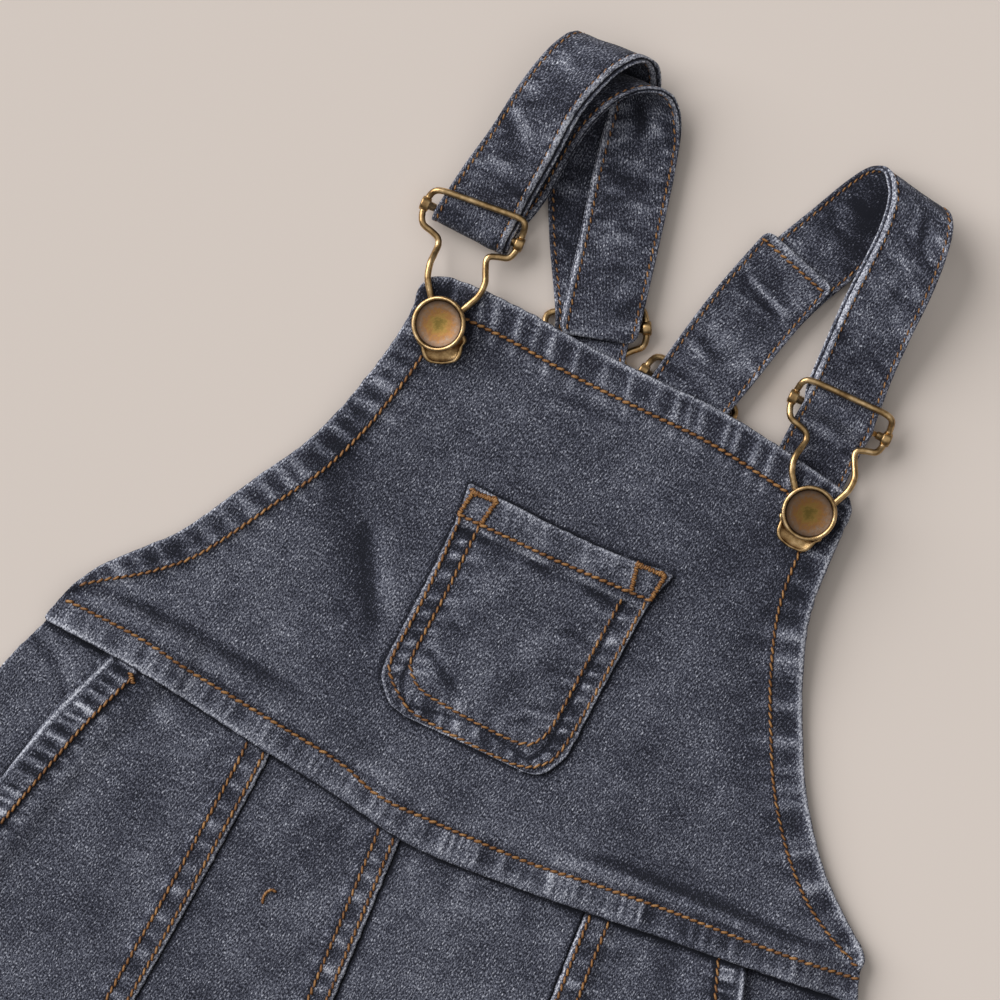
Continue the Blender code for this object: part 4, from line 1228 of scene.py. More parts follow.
def make_back_bib():
    heights = rows_between(0.0, BACK_BIB_TOP, spaced(2.0, 134.0, 1.6))
    left, right = read(BACK_BIB_ROWS, heights, 1), read(BACK_BIB_ROWS, heights, 2)
    x = columns_between(left, right, np.linspace(0, 1, 60))
    start = mix(BACK_WAIST_Y + GAP, 0.0, ramp(heights / 8.0))
    y = heights + start + ramp((heights - 84.0) / 50.0) * BACK_TOP_SLOPE * (x - 4.0)
    low = np.maximum(read(BACK_BIB_ROWS, heights, 3) + 0.0 * x, 0.0)
    rim = from_rim(x, y)
    band = seam_band(y + 0.5 * np.abs(x), rim, 9.0, Puckers(81, 500.0, 7.4), skew=0.3, ridge=1.6, depth=0.3)
    tone = 0.1 * waves(x, y, 30.0, 82) + band[1] * within(rim, 14.0, 3.0)
    piece = cloth("back_bib_cloth", x, y, low, low + DENIM, tone, denim)
    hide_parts("back_bib")
    return piece


# ---------------------------------------------------------------- straps


class Ribbon:
    """A strap's run: places, directions and frames along its stations."""

    def __init__(self, stations, step=1.15):
        rows = smooth_path(stations, step)
        turn, tilt = np.radians(rows[:, 3]), np.radians(rows[:, 4])
        self.middle, self.width, self.stations = rows[:, :3], rows[:, 5], stations
        self.across = np.stack([np.cos(turn) * np.cos(tilt), np.sin(turn) * np.cos(tilt), np.sin(tilt)], 1)
        self.ahead = unit(np.gradient(self.middle, axis=0))
        self.out = unit(np.cross(self.across, self.ahead))
        runs = np.linalg.norm(np.diff(self.middle, axis=0), axis=1)
        self.along = np.concatenate([[0.0], np.cumsum(runs)])

    def place(self, along, across, out):
        """Points on or off the ribbon, and the frame there."""
        pick = [
            np.stack([np.interp(along, self.along, part[:, k]) for k in range(3)], 1)
            for part in (self.middle, self.across, self.out, self.ahead)
        ]
        point = pick[0] + pick[1] * np.asarray(across)[..., None] + pick[2] * np.asarray(out)[..., None]
        return point, pick[1], pick[2], pick[3]

    def half(self, along):
        return np.interp(along, self.along, self.width) / 2

    def round_end(self, radius):
        """Rounds the two corners of the far end."""
        inward = np.clip(radius - (self.along[-1] - self.along), 0.0, radius)
        self.width = self.width - 2 * (radius - np.sqrt(radius**2 - inward**2)) * 0.9

    def open_edge(self, plies, side):
        """1 where both plies show at that edge, 0 elsewhere."""
        parts = [self.stretch(*ends) * min(1.0, 0.4 + amount) for at, *ends, amount in plies if at == side]
        return np.max([np.zeros(len(self.along)), *parts], axis=0)

    def stretch(self, first, last, blur=8.0):
        """1 between two of the stations, 0 elsewhere."""
        places = [self.middle - np.array(self.stations[k][:3]) for k in (first, last)]
        start, end = (self.along[np.argmin(np.linalg.norm(place, axis=1))] for place in places)
        return ramp((self.along - start) / blur + 0.5) * ramp((end - self.along) / blur + 0.5)


STRAP_STITCH = 2.3  # from the strap's edge to its stitching
STRAP_FLAT = 3.4  # from the edge to where the face is flat
STRAP_COLUMNS = 23  # points across each face
EDGE_TIGHT = 0.72  # share of a rim's full width where the edge is rolled under
EDGE_OPEN = 1.08  # and where both plies show
EDGE_WEAR_AND_SHADE = 0.35  # share of the rims' wear and painted shade that a rolled edge keeps
PLY_STEP = 1.15  # how far each ply's edge moves where they part fully
# Section of a strap's rim: distance in from the edge, share of the half thickness, tone; the tone is pale on
# the rolled edge, which is wear, and painted shade in the dip by the stitching and in the crevice between
# the plies
STRAP_EDGE = (
    (3, 0.97, -0.1), (2.6, 0.88, -0.5), (2.3, 0.80, -0.8), (2, 0.95, 0.1), (1.6, 1.15, 0.5),
    (1.15, 1.30, 1), (0.7, 1.32, 1.5), (0.3, 1.15, 1.7), (0.05, 0.85, 1.7), (0.02, 0.50, 1.3),
    (0.25, 0.24, -0.6), (0.70, 0, -2.6),
)
# Where a strap's two plies show at an edge: side, first and last station, how far they part; and
# where it lies in the shade of another stretch: first and last station, tone
PLIES_LEFT = ((1, 9, 22, 1), (1, 23, 31, 0.35), (-1, 31, 37, 0.3))
PLIES_RIGHT = ((-1, 5, 12, 0.85), (1, 12, 15, 0.3))
SHADES_LEFT = ((5, 10, -0.6), (23, 28, -0.6), (29, 31, -0.4))
SHADES_RIGHT = ((12, 15, -0.75),)

# Marked creases of a strap, the dark ones painted shade in the creases and where a nearer stretch casts its
# shadow, with paler strips between: first and last station, points in plan, width, tone
MARKS_LEFT = (
    (29, 35, ((-42, 235.8), (-36.6, 231.9), (-33.9, 226), (-33.8, 219.6)), 2.6, -1.4),
    (29, 35, ((-32.9, 231.5), (-29.2, 228.2), (-24.3, 225.5)), 2, 1.2),
    (30, 37, ((-38.8, 204.4), (-32.4, 204.5), (-24.9, 203.7), (-19.1, 203.5)), 1.8, 1),
    (30, 37, ((-40.7, 209.9), (-33.7, 210.3), (-25.9, 210.4), (-20, 211.7)), 2.4, -0.9),
    (30, 37, ((-35.6, 192.9), (-30.7, 193.1), (-24.6, 192.4), (-18.5, 193.1)), 1.8, 0.9),
    (30, 37, ((-33.5, 183.9), (-27.8, 182.3), (-21.4, 182.4), (-14.1, 183.7)), 2.2, -0.8),
    (12, 18, ((-76.4, 223.4), (-71.7, 222.7), (-66.2, 221.7)), 1.8, 1),
    (12, 18, ((-76.5, 217.6), (-71.7, 213.4), (-66.3, 209.5), (-62.2, 208.5)), 1.7, 0.6),
    (12, 18, ((-78.3, 213.8), (-73.5, 209.7), (-68.4, 204.9), (-62.7, 203.3)), 2.2, -0.9),
    (12, 18, ((-68.4, 238.6), (-64.2, 234.1), (-58.7, 231.6)), 1.8, 0.9),
    (14, 18, ((-77, 198.7), (-71.2, 197.1), (-64.3, 197.5)), 1.8, 0.8),
)
MARKS_RIGHT = (
    (12, 16, ((43.3, 243.4), (45.6, 237), (46.4, 229.1), (45.8, 218.1), (45.2, 208.5)), 4.5, -1.1),
    (12, 16, ((32.1, 227.4), (38.1, 223.8), (44.7, 220.4)), 1.8, -1.2),
    (12, 16, ((35.5, 235.5), (42.4, 233), (46.7, 231.4)), 1.8, -1.3),
    (12, 16, ((33.7, 233.2), (38.3, 231), (43.2, 228.3)), 1.8, 0.7),
    (6, 11, ((60.1, 242.7), (61.7, 236.2), (63, 230.4), (66.9, 226.5), (72.1, 224.6)), 1.3, -1.1),
    (6, 11, ((57.5, 242.2), (58.8, 235.6), (60, 229)), 1.5, 0.8),
    (24, 28, ((16, 199.8), (23.1, 196), (30, 193.5), (38.4, 191)), 1.2, 1.3),
    (24, 28, ((14.2, 198.3), (21, 194.3), (28.2, 191.2), (35.7, 189)), 1.4, -1.2),
    (24, 28, ((11.7, 192.8), (18.3, 190.9), (26.1, 189.5), (32.5, 188.2)), 1.3, 0.9),
    (24, 28, ((8.8, 171.4), (13.7, 168.7), (20, 165.9)), 1.6, 1.1),
    (24, 28, ((10.3, 174.3), (16.1, 171.2), (22.1, 169)), 1.8, -0.8),
    (2, 7, ((50, 190.7), (55.2, 188.8), (63, 187.4), (68.5, 187.8)), 2, -0.8),
)


def strap_creases(along, across, length, seed):
    """Height of the uneven cross creases of a strap."""
    draw = np.random.RandomState(seed)
    total, place = np.zeros(along.shape), 3.0
    while place < length:
        slant, width, middle = draw.uniform(-0.7, 0.1), draw.uniform(0.8, 2.6), draw.uniform(-10.0, 10.0)
        reach, height = draw.uniform(4.5, 11.0), draw.choice((-1.0, 1.0)) * draw.uniform(0.3, 1.0)
        crease = bump((along - place - slant * across) / width)
        total = total + height * crease * bump((across - middle) / reach)
        place += draw.uniform(1.5, 4.5)
    return total


STRAPS = {
    "left": (STRAP_LEFT, PLIES_LEFT, SHADES_LEFT, MARKS_LEFT),
    "right": (STRAP_RIGHT, PLIES_RIGHT, SHADES_RIGHT, MARKS_RIGHT),
}


def rim_width(open_share):
    return EDGE_TIGHT + (EDGE_OPEN - EDGE_TIGHT) * open_share


def strap_section(half, open_edge):
    """All round a strap: distance across, share of the half thickness, and tone of its rims, which is wear
    and painted shade.
    """
    edge = np.array(STRAP_EDGE)
    rim = np.concatenate([edge, edge[-2::-1] * (1, -1, 1)])
    flat = np.ones(STRAP_COLUMNS)
    lift = np.concatenate([flat, rim[:, 1], -flat, -rim[:, 1]])
    tone = np.concatenate([0 * flat, rim[:, 2], 0 * flat, rim[:, 2]])
    face = np.linspace(-1.0, 1.0, STRAP_COLUMNS)[None, :] * (half - STRAP_FLAT)
    rims = {side: half - rim[None, :, 0] * rim_width(open_edge[side]) for side in (-1, 1)}
    return np.concatenate([face, rims[1], face[:, ::-1], -rims[-1]], axis=1), lift, tone


def part_plies(ribbon, across, lift, plies):
    """Moves the upper ply's edge in and the lower one's out where both show."""
    up = np.clip(4.0 * ribbon.out[:, 2:], -1.0, 1.0)
    loose = within(ribbon.width[:, None] / 2 - np.abs(across), 1.0, 2.2)
    for side, first, last, amount in plies:
        on = ribbon.stretch(first, last)[:, None] * loose * (np.sign(across) == side)
        across = across - side * amount * PLY_STEP * on * up * np.clip(lift, -1.0, 1.0)[None, :]
    return across


def strap_shades(ribbon, across, shades, marks):
    """Tone of a strap's shaded stretches and marked creases: painted shade, with paler strips beside the
    creases.
    """
    plan = ribbon.middle[:, None, :2] + ribbon.across[:, None, :2] * across[..., None]
    tone = np.zeros(across.shape)
    for first, last, amount in shades:
        tone += amount * ribbon.stretch(first, last, 14.0)[:, None]
    for first, last, line, width, amount in marks:
        mark, beside = trough_at(line, width, plan[..., 0], plan[..., 1])
        tone += amount * ribbon.stretch(first, last)[:, None] * (mark - 0.3 * beside)
    return tone


def strap_mesh(name, ribbon, across, out):
    """A closed skin from distances across the ribbon and off it."""
    points = ribbon.middle[:, None] + ribbon.across[:, None] * across[..., None]
    points = (points + ribbon.out[:, None] * out[..., None]).reshape(-1, 3)
    rows, columns = across.shape
    caps = [np.arange(columns)[::-1][None, :], ((rows - 1) * columns + np.arange(columns))[None, :]]
    return mesh_object(name, points, [grid_faces(rows, columns, close=True), *caps], denim)


def make_strap(word, seed, squared_end):
    stations, plies, shades, marks = STRAPS[word]
    ribbon = Ribbon(stations)
    ribbon.round_end(3.2)
    length, half = ribbon.along[-1], ribbon.width[:, None] / 2
    open_edge = {side: ribbon.open_edge(plies, side)[:, None] for side in (-1, 1)}
    across, lift, rim_tone = strap_section(half, open_edge)
    across = part_plies(ribbon, across, lift, plies)
    along = ribbon.along[:, None] + np.zeros(across.shape)
    hills = strap_creases(along, across, length, seed + 2)
    gathers = Puckers(seed + 3, length, 6.0).at(along + 0.3 * across, 1.2) - 0.35
    gathers *= bump((half - np.abs(across) - STRAP_FLAT) / 2.0)
    bend = 0.4 * hills + 0.3 * gathers
    from_end = length - ribbon.along
    ends = np.minimum(ribbon.along, from_end)
    squeeze = np.sqrt(np.clip(1.0 - (1.0 - np.minimum(ends, 1.0)) ** 2, 0.02, 1.0))[:, None]
    # The rims' tone, wear and painted shade alike, shows in full where both plies show and in part where the
    # edge is rolled under
    worn = EDGE_WEAR_AND_SHADE + (1.0 - EDGE_WEAR_AND_SHADE) * np.where(across > 0, open_edge[1], open_edge[-1])
    tone = rim_tone[None, :] * worn + uneven(across, along, (0.2, 15.0, seed), (0.16, 6.5, seed + 1))
    # Painted light and shade along the creases and gathers: paler on their crests, darker in their dips;
    # pale worn ends
    tone += 0.8 * hills + 1.2 * gathers - 0.04 + 0.9 * bump(ends / 0.9)[:, None]
    tone += strap_shades(ribbon, across, shades, marks)
    if squared_end:
        tone += 0.7 * bump((from_end - 1.2) / 1.4)[:, None]
    piece = strap_mesh(f"strap_{word}_cloth", ribbon, across, STRAP / 2 * lift[None, :] * squeeze + bend)
    apart = np.where(lift[None, :] > 0, 0.0, 60.0) + 300.0 * seed
    paint(piece, tone, np.stack([across + apart, along, np.zeros(across.shape)], -1))
    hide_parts("strap_" + word)
    sew_strap(f"strap_{word}_stitches", ribbon, bend, squared_end, open_edge).parent = piece


def sew_strap(name, ribbon, bend, squared_end, open_edge):
    """Stitching along both edges of a strap, and across its squared end."""
    length = ribbon.along[-1]
    stops = np.arange(2.0, length - (3.6 if squared_end else 1.0), STITCH)
    runs = []
    for side in (-1, 1):
        tight = rim_width(np.interp(stops, ribbon.along, open_edge[side][:, 0]))
        offset = side * (ribbon.half(stops) - STRAP_STITCH * tight)
        bend_at = np.interp(stops, ribbon.along, bend[:, 0 if side < 0 else STRAP_COLUMNS - 1])
        for facing in (-1, 1):
            point, _, out, ahead = ribbon.place(stops, offset, facing * (STRAP / 2 * 0.8 + 0.1) + bend_at)
            runs.append((point, ahead, out * facing))
    piece = sew(name, runs, length=2.2, radius=0.29)
    if squared_end:
        end = length - 3.4
        reach = ribbon.half(end) - STRAP_STITCH * EDGE_TIGHT
        offset = np.arange(-reach, reach, STITCH)
        stops = np.full(len(offset), end)
        runs = []
        for facing in (-1, 1):
            point, across, out, _ = ribbon.place(stops, offset, facing * (STRAP / 2 + 0.12))
            runs.append((point, across, out * facing))
        sew(name.replace("stitches", "end_stitches"), runs, length=2.7, radius=0.42).parent = piece
    return piece


# ---------------------------------------------------------------- stitches

# One stitch along X: place along it, radius, height, as shares of its length and the thread's radius
STITCH_RINGS = (
    (-0.5, 0.35, -1), (-0.42, 0.85, -0.25), (-0.2, 1, 0.12), (0.2, 1, 0.12), (0.42, 0.85, -0.25),
    (0.5, 0.35, -1),
)
STITCH_SIDES = 5
STITCH_TURN = 0.30  # each stitch lies a little across its line


def sew(name, runs, length=2.95, radius=THREAD_R):
    """Stitches at points, with the way each lies and the way its cloth faces."""
    places, ahead, up = (np.concatenate(part) for part in zip(*runs))
    count = len(places)
    draw = np.random.RandomState(count)
    ahead = unit(ahead)
    side = unit(np.cross(up, ahead))
    turn = (STITCH_TURN + draw.uniform(-0.07, 0.07, count))[:, None]
    ahead, side = ahead * np.cos(turn) + side * np.sin(turn), side * np.cos(turn) - ahead * np.sin(turn)
    up = np.cross(ahead, side)
    rings = np.array(STITCH_RINGS)
    angles = 2 * math.pi * (np.arange(STITCH_SIDES) + 0.5) / STITCH_SIDES
    stretch = draw.uniform(0.92, 1.05, count)[:, None, None]
    fat = draw.uniform(0.9, 1.1, count)[:, None, None]
    place, thick, lift = (rings[:, k][None, :, None] for k in range(3))
    along = place * length * stretch + 0 * angles
    wide = thick * radius * fat * np.cos(angles)
    high = thick * radius * fat * np.sin(angles) + lift * radius
    frame_of = ((along, ahead), (wide, side), (high, up))
    points = places[:, None, None] + sum(size[..., None] * way[:, None, None] for size, way in frame_of)
    starts = len(rings) * STITCH_SIDES * np.arange(count)[:, None]
    quads = (starts[..., None] + grid_faces(len(rings), STITCH_SIDES, close=True)).reshape(-1, 4)
    cap = np.arange(STITCH_SIDES)
    ends = np.concatenate([starts + cap, starts + len(rings) * STITCH_SIDES - 1 - cap])
    piece = mesh_object(name, points.reshape(-1, 3), [quads, ends[:, ::-1]], thread)
    # Painted highlight along each stitch's middle and painted shade at its ends, where it goes into the
    # cloth
    bright = 1.0 - (2.0 * rings[:, 0]) ** 2 + 0.25 * draw.uniform(-1, 1, count)[:, None]
    apart = 7.0 * np.arange(count)[:, None, None, None]
    grain = np.stack([along + 0 * wide, wide * 3.0, high * 3.0], -1) + apart
    paint(piece, np.repeat(bright[..., None], STITCH_SIDES, axis=2), grain)
    return piece


class Seat:
    """Finds the face of a cloth piece above or below a place."""

    def __init__(self, *pieces):
        self.trees = []
        for piece in pieces:
            mesh = piece.data
            points = [v.co.copy() for v in mesh.vertices]
            self.trees.append(BVHTree.FromPolygons(points, [tuple(p.vertices) for p in mesh.polygons]))

    def find(self, x, y, facing=1):
        best = None
        for tree in self.trees:
            hit = tree.ray_cast(Vector((x * MM, y * MM, 0.06 * facing)), Vector((0, 0, -facing)), 0.2)
            if hit[0] is not None and (best is None or hit[0].z * facing > best[0].z * facing):
                best = hit
        if best is None:
            return None
        return np.array(best[0]) / MM, np.array(best[1])


def run_of(line, seat, start=0.0, end=None, pitch=STITCH, facing=1):
    """Stitches along a line in plan, seated on cloth."""
    points, ahead, up = [], [], []
    stops = np.arange(start + pitch / 2, (end or line.length) - pitch / 3, pitch)
    for x, y, dx, dy in zip(*line.at(stops)):
        found = seat.find(x, y, facing)
        if found is None:
            continue
        place, normal = found
        normal = normal if normal[2] * facing > 0 else -normal
        normal = normal * 0.5 + np.array((0.0, 0.0, 0.5 * facing))
        direction = np.array((dx, dy, 0.0))
        ahead.append(direction - normal * (direction @ normal) / (normal @ normal))
        up.append(normal / np.linalg.norm(normal))
        points.append(place + up[-1] * (THREAD_R - STITCH_SINK))
    return np.array(points), np.array(ahead), np.array(up)


# Turns of the stitches of a bar tack, one after another, from its own line
TACK_TURNS = (0.75, 1.45, 1, 1.6, 0.85)


def bar_tack(corners, seat, pitch=0.74):
    """Dense zigzag along a broken line."""
    points, ahead = [], []
    for (ax, ay), (bx, by) in zip(corners, corners[1:]):
        size = math.hypot(bx - ax, by - ay)
        dx, dy = (bx - ax) / size, (by - ay) / size
        for k in range(int(size / pitch) + 1):
            found = seat.find(ax + dx * k * pitch, ay + dy * k * pitch)
            if found is None:
                continue
            sine, cosine = math.sin(TACK_TURNS[k % 5]), math.cos(TACK_TURNS[k % 5])
            points.append(found[0] + (0.0, 0.0, 0.22 + 0.08 * (k % 3)))
            ahead.append((dx * cosine - dy * sine, dy * cosine + dx * sine, 0.0))
    return np.array(points), np.array(ahead), np.tile((0.0, 0.0, 1.0), (len(points), 1))


def straight(*points):
    return Line(points, step=0)


# ---------------------------------------------------------------- metal


def buckle_point(buckle, x, y):
    """Plan position of a point of a buckle."""
    turn = np.radians(mix(buckle.bar_turn, buckle.loop_turn, ramp((-3.0 - np.asarray(y, float)) / 8.0)))
    return buckle.x + x * np.cos(turn) - y * np.sin(turn), buckle.y + x * np.sin(turn) + y * np.cos(turn)


def cloth_at_button(buckle):
    """Height of the cloth face that a button is fixed to."""
    if buckle.facing < 0:
        return BACK_RISE - GAP
    x, y = buckle_point(buckle, 0, -BUTTON_REACH)
    around = [(x + dx, y + dy) for dx in (-8, 0, 8) for dy in (-6, 4, 14)]
    return float(max(bib_under(*p) for p in around)) + DENIM + HEM + GAP


def wire_height(buckle, y):
    loop = buckle.loop if buckle.facing < 0 else cloth_at_button(buckle) + WIRE_R + 0.1
    if y > 0:
        return mix(buckle.sides, buckle.top, ramp((y - 2.0) / 5.3))
    if y > -9:
        return mix(buckle.sides, buckle.neck, ramp((-2.0 - y) / 4.0))
    return mix(buckle.neck, loop, ramp((-9.0 - y) / 9.0))


def tube(path, radius, sides):
    """Points and faces of a closed ring of wire."""
    ahead = unit(np.roll(path, -1, axis=0) - np.roll(path, 1, axis=0))
    side = unit(np.cross(ahead, (0.0, 0.0, 1.0)))
    up = np.cross(side, ahead)
    angles = 2 * math.pi * np.arange(sides) / sides
    ring = side[:, None] * np.cos(angles)[None, :, None] + up[:, None] * np.sin(angles)[None, :, None]
    points = path[:, None] + ring * radius
    i, j = np.meshgrid(np.arange(len(path)), np.arange(sides), indexing="ij")
    n, m = (i + 1) % len(path), (j + 1) % sides
    quads = np.stack([i * sides + j, i * sides + m, n * sides + m, n * sides + j], -1).reshape(-1, 4)
    return points.reshape(-1, 3), quads


def turned(profile, sides):
    """Points and faces of a turned piece whose profile starts and ends on the axis."""
    rings = np.array(profile[1:-1])
    angles = 2 * math.pi * np.arange(sides) / sides
    around = [rings[:, :1] * np.cos(angles), rings[:, :1] * np.sin(angles), rings[:, 1:] + 0 * angles]
    points = np.concatenate(
        [[(0, 0, profile[0][1]), (0, 0, profile[-1][1])], np.stack(around, -1).reshape(-1, 3)]
    )
    quads = grid_faces(len(rings), sides, start=2, close=True)
    first = 2 + np.arange(sides)
    last = first + (len(rings) - 1) * sides
    fans = [np.stack([np.zeros(sides, int), np.roll(first, -1), first], 1)]
    fans.append(np.stack([np.ones(sides, int), last, np.roll(last, -1)], 1))
    return points, [quads, np.concatenate(fans)]


def buckle_wire(buckle):
    """Places along the bent wire."""
    half = smooth_path([(x, y, 0.0) for x, y in WIRE_HALF], 0.9)
    outline = np.concatenate([half[:, :2], half[-2:0:-1, :2] * (-1, 1)])
    x, y = outline[:, 0], outline[:, 1]
    skew, pull = buckle.bend
    bent_y = y + (skew * x - 5.0 * skew) * ramp((y - 1.0) / 5.0)
    bent_x = x + pull * ramp((-9.0 - y) / 10.0) * (x < 0)
    return np.array([(*buckle_point(buckle, *p), wire_height(buckle, p[1])) for p in zip(bent_x, bent_y)])


def tongue_plate(buckle):
    """Points and faces of the flat tongue that hooks over the button."""
    edge = smooth_path([(x, y, 0.0) for x, y in TONGUE], 0.7)[:, :2]
    edge = np.concatenate([edge, edge[-2::-1] * (-1, 1)])
    turn = math.radians(buckle.tongue_turn)
    pivot = np.array((0.0, -BUTTON_REACH))
    spin = np.array(((math.cos(turn), math.sin(turn)), (-math.sin(turn), math.cos(turn))))
    edge = (edge - pivot) @ spin + pivot
    centre, height, n = edge.mean(axis=0), wire_height(buckle, -40.0), len(edge)
    rings = []
    for share, z in TONGUE_EDGE:
        plan = centre + (edge - centre) * share
        x, y = buckle_point(buckle, plan[:, 0], plan[:, 1])
        rings.append(np.stack([x + buckle.shift[0], y + buckle.shift[1], np.full(n, height + z)], 1))
    caps = [np.arange(n)[None, :], ((len(rings) - 1) * n + np.arange(n)[::-1])[None, :]]
    return np.concatenate(rings), [grid_faces(len(rings), n, close=True)[:, ::-1], *caps]


def make_buckle(buckle):
    """Bent wire with its flat tongue."""
    name = "buckle_" + buckle.name
    points, quads = tube(buckle_wire(buckle), WIRE_LOOK_R, 14)
    wire = mesh_object(name + "_wire", points, [quads], brass)
    tongue = mesh_object(name + "_tongue", *tongue_plate(buckle), brass)
    for part in (wire, tongue):
        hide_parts(name)


def make_slider(buckle):
    """Bar with a collar that grips the wire at each end."""
    name = "slider_" + buckle.name
    sides, end = 20, COLLAR_X - 1.0
    bar, faces = turned(((0.0, -end), (BAR_R, -end), (BAR_R, end), (0.0, end)), sides)
    parts = [bar]
    for side in (-1, 1):
        collar, collar_faces = turned(COLLAR_PROFILE, sides)
        collar[:, 2] = side * (COLLAR_X + 1.7 - collar[:, 2])
        collar[:, 0] *= side
        start = sum(map(len, parts))
        parts.append(collar)
        faces += [f[:, ::-1] + start for f in collar_faces]
    points = np.concatenate(parts)[:, [2, 1, 0]] * (1, 1, -1)
    piece = mesh_object(name + "_bar", points, faces, brass)
    place = Matrix.Translation(Vector((buckle.x, buckle.y, buckle.sides)) * MM)
    piece.matrix_world = place @ Matrix.Rotation(math.radians(buckle.bar_turn), 4, "Z")
    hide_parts(name)


def make_button(buckle):
    """Rivet button, with the worn dish of its face as a second material."""
    name = "button_" + buckle.name
    points, faces = turned(BUTTON_PROFILE, 56)
    piece = mesh_object(name + "_rivet", points, faces, brass)
    piece.data.materials.append(button_faces.get(buckle.name, darker_face))
    paint(piece, np.hypot(points[:, 0], points[:, 1]) / FACE_RADIUS, points)
    for polygon in piece.data.polygons:
        place = polygon.center / MM
        if place.z > 2.6 and math.hypot(place.x, place.y) < FACE_RADIUS - 0.05:
            polygon.material_index = 1
    height = cloth_at_button(buckle)
    if buckle.facing < 0:
        piece.data.transform(Matrix.Diagonal((1, 1, height / BUTTON_HEIGHT, 1)))
    x, y = buckle_point(buckle, 0, -BUTTON_REACH)
    lift = LEAN_LIFT * max(map(abs, buckle.lean))
    place = Vector((x + buckle.shift[0], y + buckle.shift[1], height + lift))
    lean_x, lean_y = map(math.radians, buckle.lean)
    tilt = Matrix.Rotation(lean_x, 4, "Y") @ Matrix.Rotation(lean_y, 4, "X")
    flip = Matrix.Rotation(math.pi if buckle.facing < 0 else 0.0, 4, "X")
    piece.matrix_world = Matrix.Translation(place * MM) @ tilt @ flip
    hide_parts(name)


# ---------------------------------------------------------------- light and camera

CAMERA_HEIGHT = 1600.0
CAMERA_PLACE = (-24.5, 98.5)
CAMERA_TURN = 25.03
VIEW_WIDTH = 324.7
KEY_LIGHT = 3.51
KEY_ANGLE = math.radians(55)
HORIZON_LIGHT = 0.14
CEILING_LIGHT = 0.64
SKY_RISE = (0.45, 0.92)  # heights between which the sky goes from the one to the other
SKY_COLOUR = (1.0, 0.995, 0.985, 1.0)
GROUND_SIZE = 20000.0
GROUND_Z = -0.25


def toward(image_right, image_up, height):
    """A direction given by the picture's right and up and by height."""
    turn = math.radians(CAMERA_TURN)
    right = Vector((math.cos(turn), math.sin(turn), 0.0))
    up = Vector((-math.sin(turn), math.cos(turn), 0.0))
    return (right * image_right + up * image_up + Vector((0.0, 0.0, height))).normalized()


def make_camera():
    data = bpy.data.cameras.new("camera")
    data.angle = 2 * math.atan(VIEW_WIDTH / 2 / CAMERA_HEIGHT)
    camera = bpy.data.objects.new("camera", data)
    bpy.context.scene.collection.objects.link(camera)
    place = Matrix.Translation(Vector((*CAMERA_PLACE, CAMERA_HEIGHT)) * MM)
    camera.matrix_world = place @ Matrix.Rotation(math.radians(CAMERA_TURN), 4, "Z")
    bpy.context.scene.camera = camera


def make_key():
    data = bpy.data.lights.new("key", "SUN")
    data.energy = KEY_LIGHT
    data.angle = KEY_ANGLE
    key = bpy.data.objects.new("key", data)
    key.rotation_mode = "QUATERNION"
    key.rotation_quaternion = toward(-0.95, 0.68, 0.72).to_track_quat("Z", "Y")
    bpy.context.scene.collection.objects.link(key)


def make_sky():
    world = bpy.data.worlds.new("studio")
    world.use_nodes = True
    tree = world.node_tree
    place = tree.nodes.new("ShaderNodeTexCoord").outputs["Generated"]
    split = tree.nodes.new("ShaderNodeSeparateXYZ")
    tree.links.new(place, split.inputs[0])
    height = tree.nodes.new("ShaderNodeMapRange")
    height.interpolation_type = "SMOOTHSTEP"
    for socket, value in enumerate((*SKY_RISE, HORIZON_LIGHT, CEILING_LIGHT), 1):
        height.inputs[socket].default_value = value
    tree.links.new(split.outputs[2], height.inputs[0])
    back = tree.nodes["Background"]
    back.inputs[0].default_value = SKY_COLOUR
    tree.links.new(height.outputs[0], back.inputs[1])
    bpy.context.scene.world = world
    bpy.context.scene.view_settings.view_transform = "Standard"


def make_floor():
    corners = ((-1, -1), (1, -1), (1, 1), (-1, 1))
    mesh = bpy.data.meshes.new("ground")
    points = [(x * GROUND_SIZE * MM, y * GROUND_SIZE * MM, GROUND_Z * MM) for x, y in corners]
    mesh.from_pydata(points, [], [(0, 1, 2, 3)])
    mesh.materials.append(floor_material())
    floor = bpy.data.objects.new("ground", mesh)
    bpy.context.scene.collection.objects.link(floor)


# ---------------------------------------------------------------- the whole garment

SIDES = ((-1, "left"), (1, "right"))

make_camera()
make_key()
make_sky()
make_floor()

back_bib = make_back_bib()
back_legs = [make_back_leg("back_leg_cloth_" + word, "back_leg_" + word, side) for side, word in SIDES]
for side, word in SIDES:
    make_hip("hip_cloth_" + word, "hip_piece_" + word, side)
fronts = {}
for side, word in SIDES:
    piece = front_panel("trouser_front_side_" + word, side, "side", 100 + 20 * side)
    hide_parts("side_front_" + word)
    fronts["side", side] = piece
    piece = front_panel("trouser_front_centre_" + word, side, "centre", 150 + 20 * side)
    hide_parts("centre_front_" + word)
    fronts["centre", side] = piece
bib = make_bib()
pocket = make_pocket()
make_strap("left", 5, False)
make_strap("right", 7, True)

